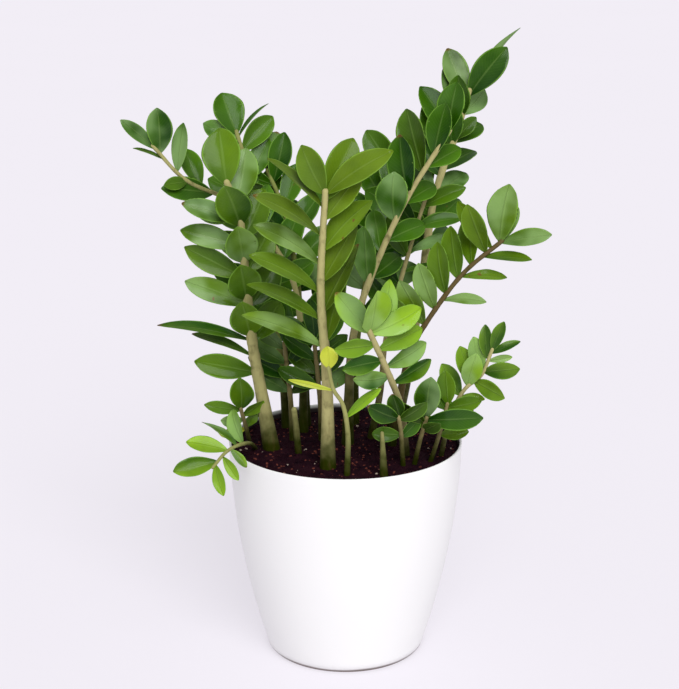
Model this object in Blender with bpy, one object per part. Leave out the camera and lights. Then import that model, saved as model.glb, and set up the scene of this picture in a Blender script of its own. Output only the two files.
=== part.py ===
"""A ZZ plant growing in a plain white pot.

Metres, +Z up. The origin is the centre of the pot's underside, and the plant's front is towards -Y.
The pot is a turned shell, the soil fills it to just below the rim, and every frond is one grown piece:
a stalk with a swollen foot, and leaflets in two ranks along its upper part. Each stalk stands in its own
socket in the soil. Leaflets are turned a little, one by one, until they lie clear of their neighbours.
"""

import math
import random
from collections import namedtuple
from functools import partial
from itertools import product

import bmesh
import bpy
from mathutils import Quaternion, Vector
from mathutils.bvhtree import BVHTree

# ---- Driving dimensions ------------------------------------------------------------------------------

POT_HEIGHT = 0.238
RIM_RADIUS = 0.127  # outside of the rim: a 10 inch pot
FOOT_RADIUS = 0.0855  # outside, at the underside
STRAIGHT_SHARE = 0.155  # how much of the wall's taper is straight; the rest is a parabola
WALL = 0.0026
FLOOR = 0.004
FOOT_ROUND = 0.003

SOIL_BELOW_RIM = 0.0085  # soil surface at the wall, below the rim
SOIL_MOUND = 0.0035  # how much the surface rises to the middle
FIT_GAP = 0.0004  # between pieces that touch
ROOT_DEPTH = 0.030  # how deep a stalk stands in the soil
FOOT_SWELLING = 0.45  # the share of a foot's radius that is swelling
SWELLING_HEIGHT = 0.090  # the swelling falls to a third over this height

BLADE_THICKNESS = 0.0014  # at the midrib; a leaflet thins to its margin
BLADE_CUP = 0.20  # rise of the margins over the midrib, as a share of the half width
BLADE_DROOP = 0.35  # how far a leaflet bends back along its length, in radians
BLADE_FULLNESS = 0.8  # 1 narrows a leaflet evenly to its ends, and less keeps it broad for longer
LEAF_INSET = 0.3  # where a leaflet starts in the stalk, as a share of the stalk's radius
LEAF_CLEARANCE = 0.0012  # kept between a leaflet and anything it could touch
LEAF_FREE_FROM = 0.10  # the share of a leaflet's length that may lie against its neighbour's base
LENGTH_JITTER = 0.05  # how far a leaflet strays from its row: a share of its length
ANGLE_JITTERS = (4, 5, 8)  # and degrees of spread, lift and roll

POT_SIDES = 44
WALL_STEPS = 7  # rings up the wall, and up the soil's side
STALK_SIDES = 8
RING_SPACING = 0.030  # along a stalk

# ---- The fronds --------------------------------------------------------------------------------------
# foot: place on the soil, as shares of its radius. path: the stalk's further points, from its foot.
# radius: at the foot and at the tip. face: where the leaflets' upper sides look.
# A row holds the leaflets of one side: their count, where they stand along the stalk (0 foot, 1 tip),
# and the first and last length and angle to the stalk, in degrees. lift brings a row forward to the
# face, roll turns its blades' upper sides to the tip of the stalk, width is a share of the length.

Frond = namedtuple("Frond", "name foot path radius face rows colour")
Row = namedtuple("Row", "side count span length spread lift roll width", defaults=(10, 10, 0.42))
Leaflet = namedtuple("Leaflet", "base along facing length width droop")

LEFT, RIGHT = -1, 1
DEEP_GREEN = (0.030, 0.130, 0.012)
MID_GREEN = (0.065, 0.210, 0.022)
YOUNG_GREEN = (0.200, 0.420, 0.030)

FRONDS = [
    Frond("frond_front", (-0.15, -0.59),
          [(-0.001, -0.001, 0.096), (-0.007, -0.011, 0.194), (-0.002, -0.027, 0.299)],
          (0.0088, 0.0028), (0, -1, 0.3),
          [Row(LEFT, 6, (0.44, 0.94), (0.088, 0.078), (48, 40), 8, 74, 0.29),
           Row(RIGHT, 5, (0.46, 0.90), (0.078, 0.066), (22, 34), -15, 35, 0.42),
           Row(LEFT, 1, (0.99, 0.99), (0.056, 0.056), (30, 30), 20, 10, 0.50),
           Row(RIGHT, 1, (0.97, 0.97), (0.070, 0.070), (24, 24), -45, 0, 0.45),
           Row(RIGHT, 1, (0.99, 0.99), (0.084, 0.084), (42, 42), 15, 30, 0.32)],
          MID_GREEN),
    Frond("frond_left", (-0.65, -0.11),
          [(-0.007, -0.004, 0.047), (-0.019, -0.008, 0.125), (-0.026, -0.012, 0.218),
           (-0.030, -0.014, 0.263), (-0.042, -0.016, 0.295)],
          (0.0095, 0.0030), (0.15, -1, 0.35),
          [Row(LEFT, 4, (0.44, 0.84), (0.050, 0.050), (34, 34), 80, 0, 0.72),
           Row(LEFT, 1, (0.99, 0.99), (0.062, 0.062), (-18, -18), 15, 0, 0.66),
           Row(LEFT, 1, (0.30, 0.30), (0.070, 0.070), (64, 64), 0, 10, 0.38),
           Row(LEFT, 1, (0.42, 0.42), (0.105, 0.105), (66, 66), -10, 60, 0.16),
           Row(LEFT, 1, (0.36, 0.36), (0.076, 0.076), (58, 58), -30, 60, 0.16),
           Row(LEFT, 4, (0.55, 0.86), (0.072, 0.060), (56, 60), -5, 24, 0.35),
           Row(RIGHT, 5, (0.42, 0.92), (0.052, 0.060), (46, 36), -20, 10, 0.56)],
          MID_GREEN),
    Frond("frond_tan", (0.02, -0.01),
          [(0.001, -0.004, 0.051), (0.005, -0.009, 0.120), (0.020, -0.014, 0.179),
           (0.057, -0.024, 0.269), (0.103, -0.034, 0.348)],
          (0.0070, 0.0022), (-0.1, -1, 0.3),
          [Row(LEFT, 1, (0.70, 0.70), (0.050, 0.050), (30, 30), 24, -6, 0.66),
           Row(LEFT, 1, (0.78, 0.78), (0.062, 0.062), (38, 38), 6, -6, 0.50),
           Row(LEFT, 1, (0.86, 0.86), (0.068, 0.068), (48, 48), -8, -6, 0.46),
           Row(LEFT, 1, (0.92, 0.92), (0.054, 0.054), (32, 32), 16, -6, 0.50),
           Row(LEFT, 1, (0.99, 0.99), (0.050, 0.050), (18, 18), 12, -6, 0.56),
           Row(LEFT, 1, (0.50, 0.50), (0.064, 0.064), (26, 26), 12, -6, 0.48),
           Row(LEFT, 2, (0.60, 0.96), (0.050, 0.044), (38, 38), -34, 0, 0.46),
           Row(RIGHT, 4, (0.52, 0.88), (0.050, 0.044), (52, 46), -66, 10, 0.46)],
          DEEP_GREEN),
    Frond("frond_right_back", (0.45, 0.54),
          [(0.014, -0.001, 0.065), (0.029, 0.003, 0.168), (0.042, 0.011, 0.260), (0.064, 0.016, 0.326),
           (0.078, 0.018, 0.375)],
          (0.0085, 0.0030), (-0.1, -1, 0.3),
          [Row(RIGHT, 1, (0.985, 0.985), (0.068, 0.068), (20, 20), 28, 10, 0.46),
           Row(RIGHT, 1, (0.99, 0.99), (0.092, 0.092), (5, 5), -32, 60, 0.19),
           Row(LEFT, 8, (0.58, 0.97), (0.086, 0.058), (58, 38), 2, 14, 0.46),
           Row(LEFT, 2, (0.84, 0.92), (0.048, 0.048), (20, 20), 60, 0, 0.54),
           Row(RIGHT, 1, (0.86, 0.86), (0.032, 0.032), (24, 24), 0, 10, 0.46),
           Row(RIGHT, 6, (0.52, 0.93), (0.062, 0.050), (56, 44), -62, 10, 0.44)],
          DEEP_GREEN),
    Frond("frond_far_left", (-0.38, 0.35),
          [(0.000, 0.007, 0.058), (-0.003, 0.012, 0.125), (-0.016, 0.012, 0.183),
           (-0.063, 0.002, 0.252), (-0.121, -0.018, 0.286), (-0.155, -0.033, 0.326)],
          (0.0058, 0.0018), (0.1, -1, 0.4),
          [Row(LEFT, 1, (0.99, 0.99), (0.048, 0.048), (6, 6), 0, 15, 0.30),
           Row(RIGHT, 1, (0.97, 0.97), (0.050, 0.050), (42, 42), 5, 5, 0.56),
           Row(RIGHT, 1, (0.90, 0.90), (0.050, 0.050), (56, 56), 5, 40, 0.36),
           Row(LEFT, 1, (0.95, 0.95), (0.036, 0.036), (22, 22), 0, 50, 0.26),
           Row(LEFT, 2, (0.78, 0.86), (0.056, 0.030), (12, 20), 12, 10, 0.46),
           Row(RIGHT, 4, (0.50, 0.82), (0.056, 0.046), (52, 52), -20, 10, 0.46),
           Row(LEFT, 3, (0.44, 0.68), (0.058, 0.052), (52, 46), 5, 15, 0.44)],
          DEEP_GREEN),
    Frond("frond_left_back", (-0.53, 0.49),
          [(-0.004, 0.002, 0.055), (-0.016, 0.014, 0.144), (-0.044, 0.044, 0.285),
           (-0.055, 0.054, 0.326)],
          (0.0062, 0.0022), (0.1, -1, 0.3),
          [Row(LEFT, 1, (0.99, 0.99), (0.050, 0.050), (2, 2), 5, 5, 0.70),
           Row(RIGHT, 1, (0.98, 0.98), (0.050, 0.050), (42, 42), 0, 65, 0.26),
           Row(LEFT, 6, (0.48, 0.95), (0.062, 0.050), (62, 42), 5, 15, 0.46),
           Row(RIGHT, 6, (0.46, 0.93), (0.062, 0.052), (60, 42), 5, 15, 0.46)],
          DEEP_GREEN),
    Frond("frond_middle_back", (-0.36, 0.53),
          [(-0.002, 0.003, 0.076), (-0.009, 0.013, 0.165), (-0.022, 0.027, 0.236),
           (-0.042, 0.040, 0.284)],
          (0.0060, 0.0020), (0.1, -1, 0.3),
          [Row(RIGHT, 1, (0.99, 0.99), (0.050, 0.050), (12, 12), 0, 10, 0.58),
           Row(LEFT, 6, (0.44, 0.94), (0.062, 0.054), (60, 45), 5, 10, 0.46),
           Row(RIGHT, 6, (0.42, 0.95), (0.064, 0.056), (58, 36), 5, 10, 0.46)],
          DEEP_GREEN),
    Frond("frond_centre_back", (0.08, 0.58),
          [(0.002, 0.008, 0.084), (0.014, 0.018, 0.163), (0.032, 0.028, 0.235), (0.050, 0.033, 0.296)],
          (0.0062, 0.0022), (0.0, -1, 0.3),
          [Row(LEFT, 6, (0.40, 0.94), (0.068, 0.058), (60, 42), 5, 10, 0.48),
           Row(RIGHT, 6, (0.42, 0.95), (0.068, 0.058), (60, 42), 5, 10, 0.48),
           Row(RIGHT, 1, (0.99, 0.99), (0.056, 0.056), (5, 5), 0, 10, 0.50)],
          DEEP_GREEN),
    Frond("frond_right_thin", (0.23, 0.16),
          [(0.010, 0.000, 0.054), (0.017, -0.002, 0.123), (0.044, -0.010, 0.230),
           (0.060, -0.015, 0.284)],
          (0.0045, 0.0018), (0.1, -1, 0.4),
          [Row(RIGHT, 2, (0.66, 0.74), (0.046, 0.056), (52, 48), 0, 72, 0.30),
           Row(RIGHT, 2, (0.84, 0.92), (0.048, 0.050), (44, 38), 5, 38, 0.36),
           Row(RIGHT, 1, (0.86, 0.86), (0.056, 0.056), (110, 110), 30, 60, 0.26),
           Row(LEFT, 5, (0.50, 0.95), (0.050, 0.046), (50, 40), 5, -15, 0.44),
           Row(RIGHT, 1, (0.99, 0.99), (0.044, 0.044), (8, 8), 0, 30, 0.40)],
          DEEP_GREEN),
    Frond("frond_right", (0.41, -0.04),
          [(0.008, -0.005, 0.054), (0.019, -0.010, 0.110), (0.044, -0.015, 0.157),
           (0.074, -0.020, 0.199), (0.111, -0.030, 0.234)],
          (0.0048, 0.0020), (0.0, -1, 0.3),
          [Row(RIGHT, 1, (0.99, 0.99), (0.054, 0.054), (26, 26), 10, 35, 0.34),
           Row(LEFT, 1, (0.99, 0.99), (0.064, 0.064), (46, 46), 5, 0, 0.54),
           Row(LEFT, 1, (0.95, 0.95), (0.060, 0.060), (86, 86), 15, -15, 0.34),
           Row(RIGHT, 1, (0.985, 0.985), (0.046, 0.046), (-28, -28), 20, -5, 0.46),
           Row(LEFT, 7, (0.46, 0.92), (0.052, 0.060), (52, 60), 8, -14, 0.44),
           Row(RIGHT, 3, (0.66, 0.90), (0.046, 0.054), (48, 40), 0, 52, 0.28)],
          MID_GREEN),
    Frond("frond_centre_young", (0.52, -0.27),
          [(-0.003, -0.017, 0.033), (-0.007, -0.032, 0.066), (-0.022, -0.052, 0.110),
           (-0.041, -0.067, 0.156)],
          (0.0050, 0.0025), (0.1, -1, 0.6),
          [Row(RIGHT, 1, (0.99, 0.99), (0.048, 0.048), (30, 30), 45, 0, 0.82),
           Row(LEFT, 1, (0.99, 0.99), (0.056, 0.056), (8, 8), 10, 10, 0.44),
           Row(RIGHT, 1, (0.98, 0.98), (0.060, 0.060), (92, 92), 10, 0, 0.42),
           Row(RIGHT, 1, (0.95, 0.95), (0.060, 0.060), (66, 66), -18, 0, 0.42),
           Row(LEFT, 3, (0.66, 0.90), (0.044, 0.044), (64, 54), 10, 10, 0.44),
           Row(RIGHT, 3, (0.60, 0.86), (0.050, 0.054), (92, 96), 5, 5, 0.42)],
          YOUNG_GREEN),
    Frond("frond_right_young", (0.83, -0.27),
          [(0.004, -0.017, 0.034), (0.012, -0.025, 0.065), (0.023, -0.032, 0.087),
           (0.038, -0.037, 0.102), (0.048, -0.042, 0.131)],
          (0.0030, 0.0014), (0.0, -1, 0.4),
          [Row(RIGHT, 1, (0.99, 0.99), (0.033, 0.033), (-4, -4), 14, 5, 0.38),
           Row(LEFT, 1, (0.92, 0.92), (0.036, 0.036), (30, 30), -8, 5, 0.36),
           Row(RIGHT, 1, (0.97, 0.97), (0.032, 0.032), (40, 40), 0, 30, 0.28),
           Row(RIGHT, 1, (0.91, 0.91), (0.026, 0.026), (54, 54), 0, 30, 0.28),
           Row(LEFT, 1, (0.66, 0.66), (0.040, 0.040), (24, 24), 50, 10, 0.50),
           Row(RIGHT, 1, (0.82, 0.82), (0.040, 0.040), (40, 40), 14, 15, 0.46),
           Row(RIGHT, 1, (0.72, 0.72), (0.040, 0.040), (66, 66), 26, 15, 0.46),
           Row(LEFT, 4, (0.44, 0.82), (0.040, 0.038), (64, 46), 8, 22, 0.48),
           Row(RIGHT, 2, (0.34, 0.56), (0.028, 0.024), (66, 50), 5, 50, 0.34)],
          YOUNG_GREEN),
    Frond("frond_hanging", (-0.79, -0.10),
          [(-0.004, -0.028, 0.016), (-0.013, -0.063, 0.027), (-0.026, -0.083, 0.026),
           (-0.039, -0.100, 0.015)],
          (0.0026, 0.0012), (0.1, -0.8, 0.8),
          [Row(RIGHT, 3, (0.62, 0.92), (0.047, 0.046), (92, 32), 0, 8, 0.42),
           Row(LEFT, 3, (0.74, 0.96), (0.026, 0.036), (90, 44), 0, 30, 0.34),
           Row(RIGHT, 1, (0.99, 0.99), (0.048, 0.048), (2, 2), 0, 8, 0.44),
           Row(RIGHT, 1, (0.50, 0.50), (0.040, 0.040), (100, 100), 24, 100, 0.46)],
          YOUNG_GREEN),
    Frond("frond_left_small", (-0.85, 0.05),
          [(-0.002, -0.016, 0.021), (-0.007, -0.036, 0.052)],
          (0.0026, 0.0014), (0.1, -1, 0.4),
          [Row(RIGHT, 1, (0.99, 0.99), (0.042, 0.042), (14, 14), 5, 0, 0.62),
           Row(LEFT, 1, (0.96, 0.96), (0.042, 0.042), (58, 58), 0, 30, 0.32),
           Row(LEFT, 2, (0.45, 0.70), (0.030, 0.028), (70, 60), 10, 10, 0.50),
           Row(RIGHT, 2, (0.50, 0.80), (0.026, 0.028), (50, 44), 10, 10, 0.55)],
          MID_GREEN),
    Frond("frond_front_thin", (0.01, -0.76),
          [(0.001, -0.001, 0.044), (-0.004, -0.004, 0.077), (-0.014, -0.006, 0.095),
           (-0.019, -0.006, 0.118)],
          (0.0034, 0.0014), (0.0, -1, 0.4),
          [Row(RIGHT, 1, (0.99, 0.99), (0.024, 0.024), (10, 10), 5, 0, 0.78),
           Row(LEFT, 1, (0.80, 0.80), (0.048, 0.048), (56, 56), 0, 30, 0.11),
           Row(RIGHT, 1, (0.52, 0.52), (0.048, 0.048), (52, 52), 0, 40, 0.22)],
          YOUNG_GREEN),
    Frond("frond_low_left", (-0.47, 0.10),
          [(-0.002, 0.000, 0.048), (-0.008, -0.006, 0.113)],
          (0.0036, 0.0016), (0.1, -1, 0.3),
          [Row(LEFT, 4, (0.50, 0.94), (0.048, 0.044), (58, 46), 0, 15, 0.38),
           Row(RIGHT, 4, (0.48, 0.92), (0.048, 0.044), (58, 46), 0, 15, 0.38),
           Row(RIGHT, 1, (0.99, 0.99), (0.044, 0.044), (5, 5), 0, 10, 0.42)],
          DEEP_GREEN),
    Frond("frond_low_middle", (-0.21, 0.08),
          [(-0.002, -0.004, 0.052), (-0.008, -0.010, 0.119)],
          (0.0036, 0.0016), (-0.1, -1, 0.3),
          [Row(LEFT, 4, (0.52, 0.94), (0.050, 0.044), (56, 44), 0, 15, 0.38),
           Row(RIGHT, 4, (0.50, 0.92), (0.048, 0.044), (56, 44), 0, 15, 0.38),
           Row(RIGHT, 1, (0.99, 0.99), (0.046, 0.046), (5, 5), 0, 10, 0.42)],
          DEEP_GREEN),
    Frond("frond_low_right_front", (0.49, -0.53),
          [(-0.003, -0.013, 0.041), (-0.006, -0.021, 0.061)],
          (0.0028, 0.0014), (0.0, -1, 0.4),
          [Row(RIGHT, 1, (0.99, 0.99), (0.030, 0.030), (-6, -6), -30, 5, 0.56),
           Row(LEFT, 1, (0.96, 0.96), (0.042, 0.042), (46, 46), 5, 14, 0.46),
           Row(RIGHT, 1, (0.93, 0.93), (0.038, 0.038), (58, 58), 8, 14, 0.50),
           Row(LEFT, 1, (0.62, 0.62), (0.030, 0.030), (74, 74), 5, 10, 0.52),
           Row(RIGHT, 1, (0.58, 0.58), (0.028, 0.028), (64, 64), 5, 10, 0.52)],
          DEEP_GREEN),
    Frond("frond_low_right", (0.59, -0.49),
          [(0.005, -0.011, 0.031), (0.011, -0.019, 0.058)],
          (0.0028, 0.0014), (0.0, -1, 0.4),
          [Row(LEFT, 1, (0.99, 0.99), (0.048, 0.048), (12, 12), 5, 5, 0.58),
           Row(RIGHT, 1, (0.95, 0.95), (0.060, 0.060), (64, 64), 12, 20, 0.38),
           Row(LEFT, 1, (0.88, 0.88), (0.044, 0.044), (56, 56), 12, 10, 0.44),
           Row(RIGHT, 1, (0.74, 0.74), (0.030, 0.030), (40, 40), 55, 10, 0.50)],
          DEEP_GREEN),
    Frond("frond_low_far_right", (0.73, -0.42),
          [(0.008, -0.010, 0.033), (0.016, -0.014, 0.069)],
          (0.0026, 0.0013), (0.0, -1, 0.4),
          [Row(RIGHT, 1, (0.99, 0.99), (0.036, 0.036), (0, 0), 5, 10, 0.52),
           Row(LEFT, 2, (0.58, 0.90), (0.038, 0.036), (66, 46), 5, 20, 0.46),
           Row(RIGHT, 3, (0.50, 0.94), (0.032, 0.038), (70, 42), 5, 20, 0.44)],
          MID_GREEN),
    Frond("shoot_bud", (0.32, -0.76),
          [(-0.001, 0.002, 0.024), (-0.002, 0.004, 0.045)],
          (0.0046, 0.0006), (0, -1, 0.3), [], MID_GREEN),
    Frond("shoot_stub", (-0.41, -0.24),
          [(-0.002, -0.006, 0.030), (-0.004, -0.012, 0.053)],
          (0.0038, 0.0020), (0, -1, 0.3), [], DEEP_GREEN),
]

# ---- Pot and soil ------------------------------------------------------------------------------------


def new_material(name, colour, roughness):
    material = bpy.data.materials.new(name)
    material.use_nodes = True
    shader = material.node_tree.nodes["Principled BSDF"]
    shader.inputs["Base Color"].default_value = (*colour, 1.0)
    shader.inputs["Roughness"].default_value = roughness
    shader.inputs["Metallic"].default_value = 0.0
    return material


def new_object(name, bm, material, sharp_angle=40):
    bmesh.ops.recalc_face_normals(bm, faces=bm.faces)
    mesh = bpy.data.meshes.new(name)
    bm.to_mesh(mesh)
    bm.free()
    mesh.materials.append(material)
    mesh.shade_smooth()
    mesh.set_sharp_from_angle(angle=math.radians(sharp_angle))
    made = bpy.data.objects.new(name, mesh)
    bpy.context.scene.collection.objects.link(made)
    return made


def pot_radius(z):
    """Outside radius of the pot's wall at height z."""
    down = (POT_HEIGHT - z) / POT_HEIGHT
    fall = STRAIGHT_SHARE * down + (1 - STRAIGHT_SHARE) * down * down
    return RIM_RADIUS - (RIM_RADIUS - FOOT_RADIUS) * fall


def turned(profile):
    """A closed solid from a profile of (radius, height) points that starts and ends on the axis."""
    bm = bmesh.new()
    ends = [bm.verts.new((0, 0, profile[0][1])), bm.verts.new((0, 0, profile[-1][1]))]
    rings = []
    for radius, height in profile[1:-1]:
        turns = [2 * math.pi * k / POT_SIDES for k in range(POT_SIDES)]
        rings.append([bm.verts.new((radius * math.cos(a), radius * math.sin(a), height)) for a in turns])
    for low, high in zip(rings, rings[1:]):
        for k in range(POT_SIDES):
            n = (k + 1) % POT_SIDES
            bm.faces.new((low[k], low[n], high[n], high[k]))
    for end, ring in zip(ends, (rings[0], rings[-1])):
        for k in range(POT_SIDES):
            bm.faces.new((end, ring[k], ring[(k + 1) % POT_SIDES]))
    return bm


def pot_profile():
    """Underside, rounded foot, wall, rounded lip, inner wall and floor."""
    foot = [(FOOT_RADIUS - FOOT_ROUND * (1 - math.sin(a)), FOOT_ROUND * (1 - math.cos(a)))
            for a in (math.radians(30 * k) for k in range(3))]
    lip = WALL / 2
    wall_top = POT_HEIGHT - lip
    heights = [FOOT_ROUND + (wall_top - FOOT_ROUND) * k / WALL_STEPS for k in range(WALL_STEPS + 1)]
    outer = [(pot_radius(z), z) for z in heights]
    crest = [(RIM_RADIUS - lip + lip * math.cos(a), wall_top + lip * math.sin(a))
             for a in (math.radians(45 * k) for k in range(1, 4))]
    inner = [(pot_radius(max(z, FLOOR)) - WALL, max(z, FLOOR)) for z in reversed(heights)]
    return [(0, 0), *foot, *outer, *crest, *inner, (0, FLOOR)]


SOIL_EDGE = POT_HEIGHT - SOIL_BELOW_RIM


def soil_side(z):
    """Radius of the soil at height z. Between two of its rings the wall lies inside its true curve."""
    wall_inside = (RIM_RADIUS - FOOT_RADIUS) * (1 - STRAIGHT_SHARE) / (4 * WALL_STEPS * WALL_STEPS)
    return pot_radius(z) - WALL - FIT_GAP - wall_inside


def soil_height(radius):
    """Height of the soil surface at a distance from the pot's axis."""
    return SOIL_EDGE + SOIL_MOUND * (1 - (radius / soil_side(SOIL_EDGE)) ** 2)


def soil_profile():
    bottom = FLOOR + FIT_GAP
    heights = [bottom + (SOIL_EDGE - bottom) * k / WALL_STEPS for k in range(WALL_STEPS + 1)]
    side = [(soil_side(z), z) for z in heights]
    top = [(side[-1][0] * share, soil_height(side[-1][0] * share)) for share in (0.75, 0.5, 0.25)]
    return [(0, bottom), *side, *top, (0, soil_height(0))]


# ---- Stalks ------------------------------------------------------------------------------------------


class Stalk:
    """A smooth curve through a frond's points, made of rings at even spacing."""

    def __init__(self, frond):
        x, y = (share * soil_side(SOIL_EDGE) for share in frond.foot)
        foot = Vector((x, y, soil_height(math.hypot(x, y))))
        self.points = [foot, *(foot + Vector(point) for point in frond.path)]
        self.foot_radius, self.tip_radius = frond.radius
        samples = 24 * (len(self.points) - 1)
        trace = [self.on_curve(k / samples) for k in range(samples + 1)]
        reach = [0.0]
        for a, b in zip(trace, trace[1:]):
            reach.append(reach[-1] + (b - a).length)
        self.length = reach[-1]
        self.spans = max(3, math.ceil(self.length / RING_SPACING))
        self.centres = []
        for k in range(self.spans + 1):
            wanted = self.length * k / self.spans
            i = min(sum(run < wanted for run in reach[1:]), samples - 1)
            part = (wanted - reach[i]) / (reach[i + 1] - reach[i])
            self.centres.append(trace[i].lerp(trace[i + 1], part))

    def on_curve(self, share):
        """Catmull-Rom through the points; share counts the spans from 0 to 1."""
        spans = len(self.points) - 1
        k = min(int(share * spans), spans - 1)
        t = share * spans - k
        b, c = self.points[k], self.points[k + 1]
        a = self.points[k - 1] if k else 2 * b - c
        d = self.points[k + 2] if k + 2 <= spans else 2 * c - b
        return 0.5 * (2 * b + (c - a) * t + (2 * a - 5 * b + 4 * c - d) * t * t
                      + (3 * b - a - 3 * c + d) * t ** 3)

    def at(self, share):
        """The point a share of the length up the stalk, on the line between two rings' centres."""
        k = min(int(share * self.spans), self.spans - 1)
        return self.centres[k].lerp(self.centres[k + 1], share * self.spans - k)

    def tangent(self, share):
        step = 0.5 / self.spans
        return (self.at(min(share + step, 1)) - self.at(max(share - step, 0))).normalized()

    def radius(self, share):
        """A slim taper, and a swelling at the foot."""
        swelling = self.foot_radius * FOOT_SWELLING
        slim = self.foot_radius - swelling
        swelling *= math.exp(-share * self.length / SWELLING_HEIGHT)
        return slim + (self.tip_radius - slim) * share + swelling

    def rings(self):
        """(centre, direction, radius) of each ring, from the buried foot to the tip."""
        up = self.tangent(0)
        found = [(self.points[0] - up * ROOT_DEPTH, up, self.foot_radius)]
        for k, centre in enumerate(self.centres):
            found.append((centre, self.tangent(k / self.spans), self.radius(k / self.spans)))
        return found


def add_tube(bm, rings, grow=0.0):
    """A closed tube through rings, its sides kept from twisting."""
    side = rings[0][1].orthogonal().normalized()
    loops = []
    before = rings[0][1]
    for centre, direction, radius in rings:
        side = before.rotation_difference(direction) @ side
        before = direction
        spins = [Quaternion(direction, 2 * math.pi * k / STALK_SIDES) for k in range(STALK_SIDES)]
        loops.append([bm.verts.new(centre + (spin @ side) * (radius + grow)) for spin in spins])
    for low, high in zip(loops, loops[1:]):
        for k in range(STALK_SIDES):
            n = (k + 1) % STALK_SIDES
            bm.faces.new((low[k], low[n], high[n], high[k]))
    bm.faces.new(loops[0][::-1])
    bm.faces.new(loops[-1])


def add_socket(bm, stalk):
    """The hole that a stalk stands in: its buried stretch and the first rings above it, a gap wider."""
    rings = stalk.rings()[:3]
    centre, direction, radius = rings[0]
    rings[0] = (centre - direction * FIT_GAP, direction, radius)
    add_tube(bm, rings, grow=FIT_GAP)


# ---- Leaflets ----------------------------------------------------------------------------------------

BLADE_STATIONS = (0.12, 0.35, 0.65, 0.88)


def blade_points(leaf, thickness, margin=0.0, start=0.0):
    """Base, tip, and for each station the left margin, upper and lower midrib and right margin."""
    across = leaf.along.cross(leaf.facing)

    def spine(t):
        run, bend = leaf.length * t, leaf.droop * t
        return (leaf.base + leaf.along * run * (1 - bend * bend / 6) - leaf.facing * run * bend / 2,
                (leaf.facing + leaf.along * bend).normalized())

    rows = []
    for t in BLADE_STATIONS:
        if t < start:
            continue
        centre, normal = spine(t)
        half = leaf.width / 2 * math.sin(math.pi * t) ** BLADE_FULLNESS + margin
        rise = normal * half * BLADE_CUP
        rows.append((centre - across * half + rise, centre + normal * thickness / 2,
                     centre - normal * thickness / 2, centre + across * half + rise))
    return spine(start)[0], spine(1.0)[0] + leaf.along * margin, rows


def add_blade(bm, leaf, thickness=BLADE_THICKNESS, margin=0.0, start=0.0):
    """A leaflet: one closed blade, thick at the midrib and sharp at its margins, tip and base."""
    base, tip, rows = blade_points(leaf, thickness, margin, start)
    base, tip = bm.verts.new(base), bm.verts.new(tip)
    rows = [[bm.verts.new(p) for p in row] for row in rows]
    loop = (0, 1, 3, 2)  # round the section: left margin, upper midrib, right margin, lower midrib
    for a, b in zip(loop, loop[1:] + loop[:1]):
        bm.faces.new((base, rows[0][b], rows[0][a]))
        bm.faces.new((tip, rows[-1][a], rows[-1][b]))
        for low, high in zip(rows, rows[1:]):
            bm.faces.new((low[a], low[b], high[b], high[a]))


def tree_of(bm):
    """A search tree of a mesh, which is freed."""
    tree = BVHTree.FromBMesh(bm)
    bm.free()
    return tree


def plain_tree(build, *values, **options):
    bm = bmesh.new()
    build(bm, *values, **options)
    return tree_of(bm)


def is_clear(leaf, others, siblings):
    """Whether a leaflet keeps its clearance to other fronds, and to its siblings away from the stalk."""
    thickness = BLADE_THICKNESS + 2 * LEAF_CLEARANCE
    whole = plain_tree(add_blade, leaf, thickness, LEAF_CLEARANCE)
    if any(whole.overlap(other) for other in others):
        return False
    outer = plain_tree(add_blade, leaf, thickness, LEAF_CLEARANCE, start=LEAF_FREE_FROM)
    return not any(outer.overlap(other) for other in siblings)


# What a leaflet may do to lie clear, the least first: turns of (spread, lift, roll) in degrees, then
# a shorter blade.
NUDGES = sorted(product((0, 9, -9, 18, -18), (0, 12, -12, 24, -24, 38), (0, 18, -18)),
                key=lambda turns: sum(abs(turn) for turn in turns))
SHRINKS = (1.0, 0.85, 0.7, 0.55)


def aimed(stalk, frond, row, place, length, angles):
    """The leaflet of a row at a place on the stalk, with its (spread, lift, roll) in degrees."""
    up = stalk.tangent(place)
    face = Vector(frond.face)
    face = (face - up * face.dot(up)).normalized()
    out = up.cross(face) * row.side
    spread, lift, roll = (math.radians(angle) for angle in angles)
    along = up * math.cos(spread) + (out * math.cos(lift) + face * math.sin(lift)) * math.sin(spread)
    along.normalize()
    facing = (face - along * face.dot(along)).normalized()
    facing = Quaternion(along, -row.side * roll) @ facing
    base = stalk.at(place) + out * stalk.radius(place) * LEAF_INSET
    return Leaflet(base, along, facing, length, length * row.width, BLADE_DROOP)


def first_clear(aim, length, angles, others, siblings):
    """The first leaflet, of the lengths and turns tried, that lies clear of everything."""
    for shrink in SHRINKS:
        for nudge in NUDGES:
            leaf = aim(length * shrink, [angle + turn for angle, turn in zip(angles, nudge)])
            if is_clear(leaf, others, siblings):
                return leaf
    return None


def ramp(ends, share):
    return ends[0] + (ends[1] - ends[0]) * share


def place_leaflets(frond, stalk, others, seed):
    """The frond's leaflets, and their search trees."""
    chance = random.Random(seed)
    placed, siblings = [], []
    for row in frond.rows:
        for k in range(row.count):
            share = k / (row.count - 1) if row.count > 1 else 0
            length = ramp(row.length, share) * (1 + chance.uniform(-LENGTH_JITTER, LENGTH_JITTER))
            angles = [angle + chance.uniform(-jitter, jitter) for angle, jitter
                      in zip((ramp(row.spread, share), row.lift, row.roll), ANGLE_JITTERS)]
            aim = partial(aimed, stalk, frond, row, ramp(row.span, share))
            leaf = first_clear(aim, length, angles, others, siblings)
            if leaf:
                placed.append(leaf)
                siblings.append(plain_tree(add_blade, leaf))
    return placed, siblings


# ---- Build -------------------------------------------------------------------------------------------


def hide_helper(helper):
    helper.hide_render = True
    helper.display_type = "WIRE"


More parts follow.
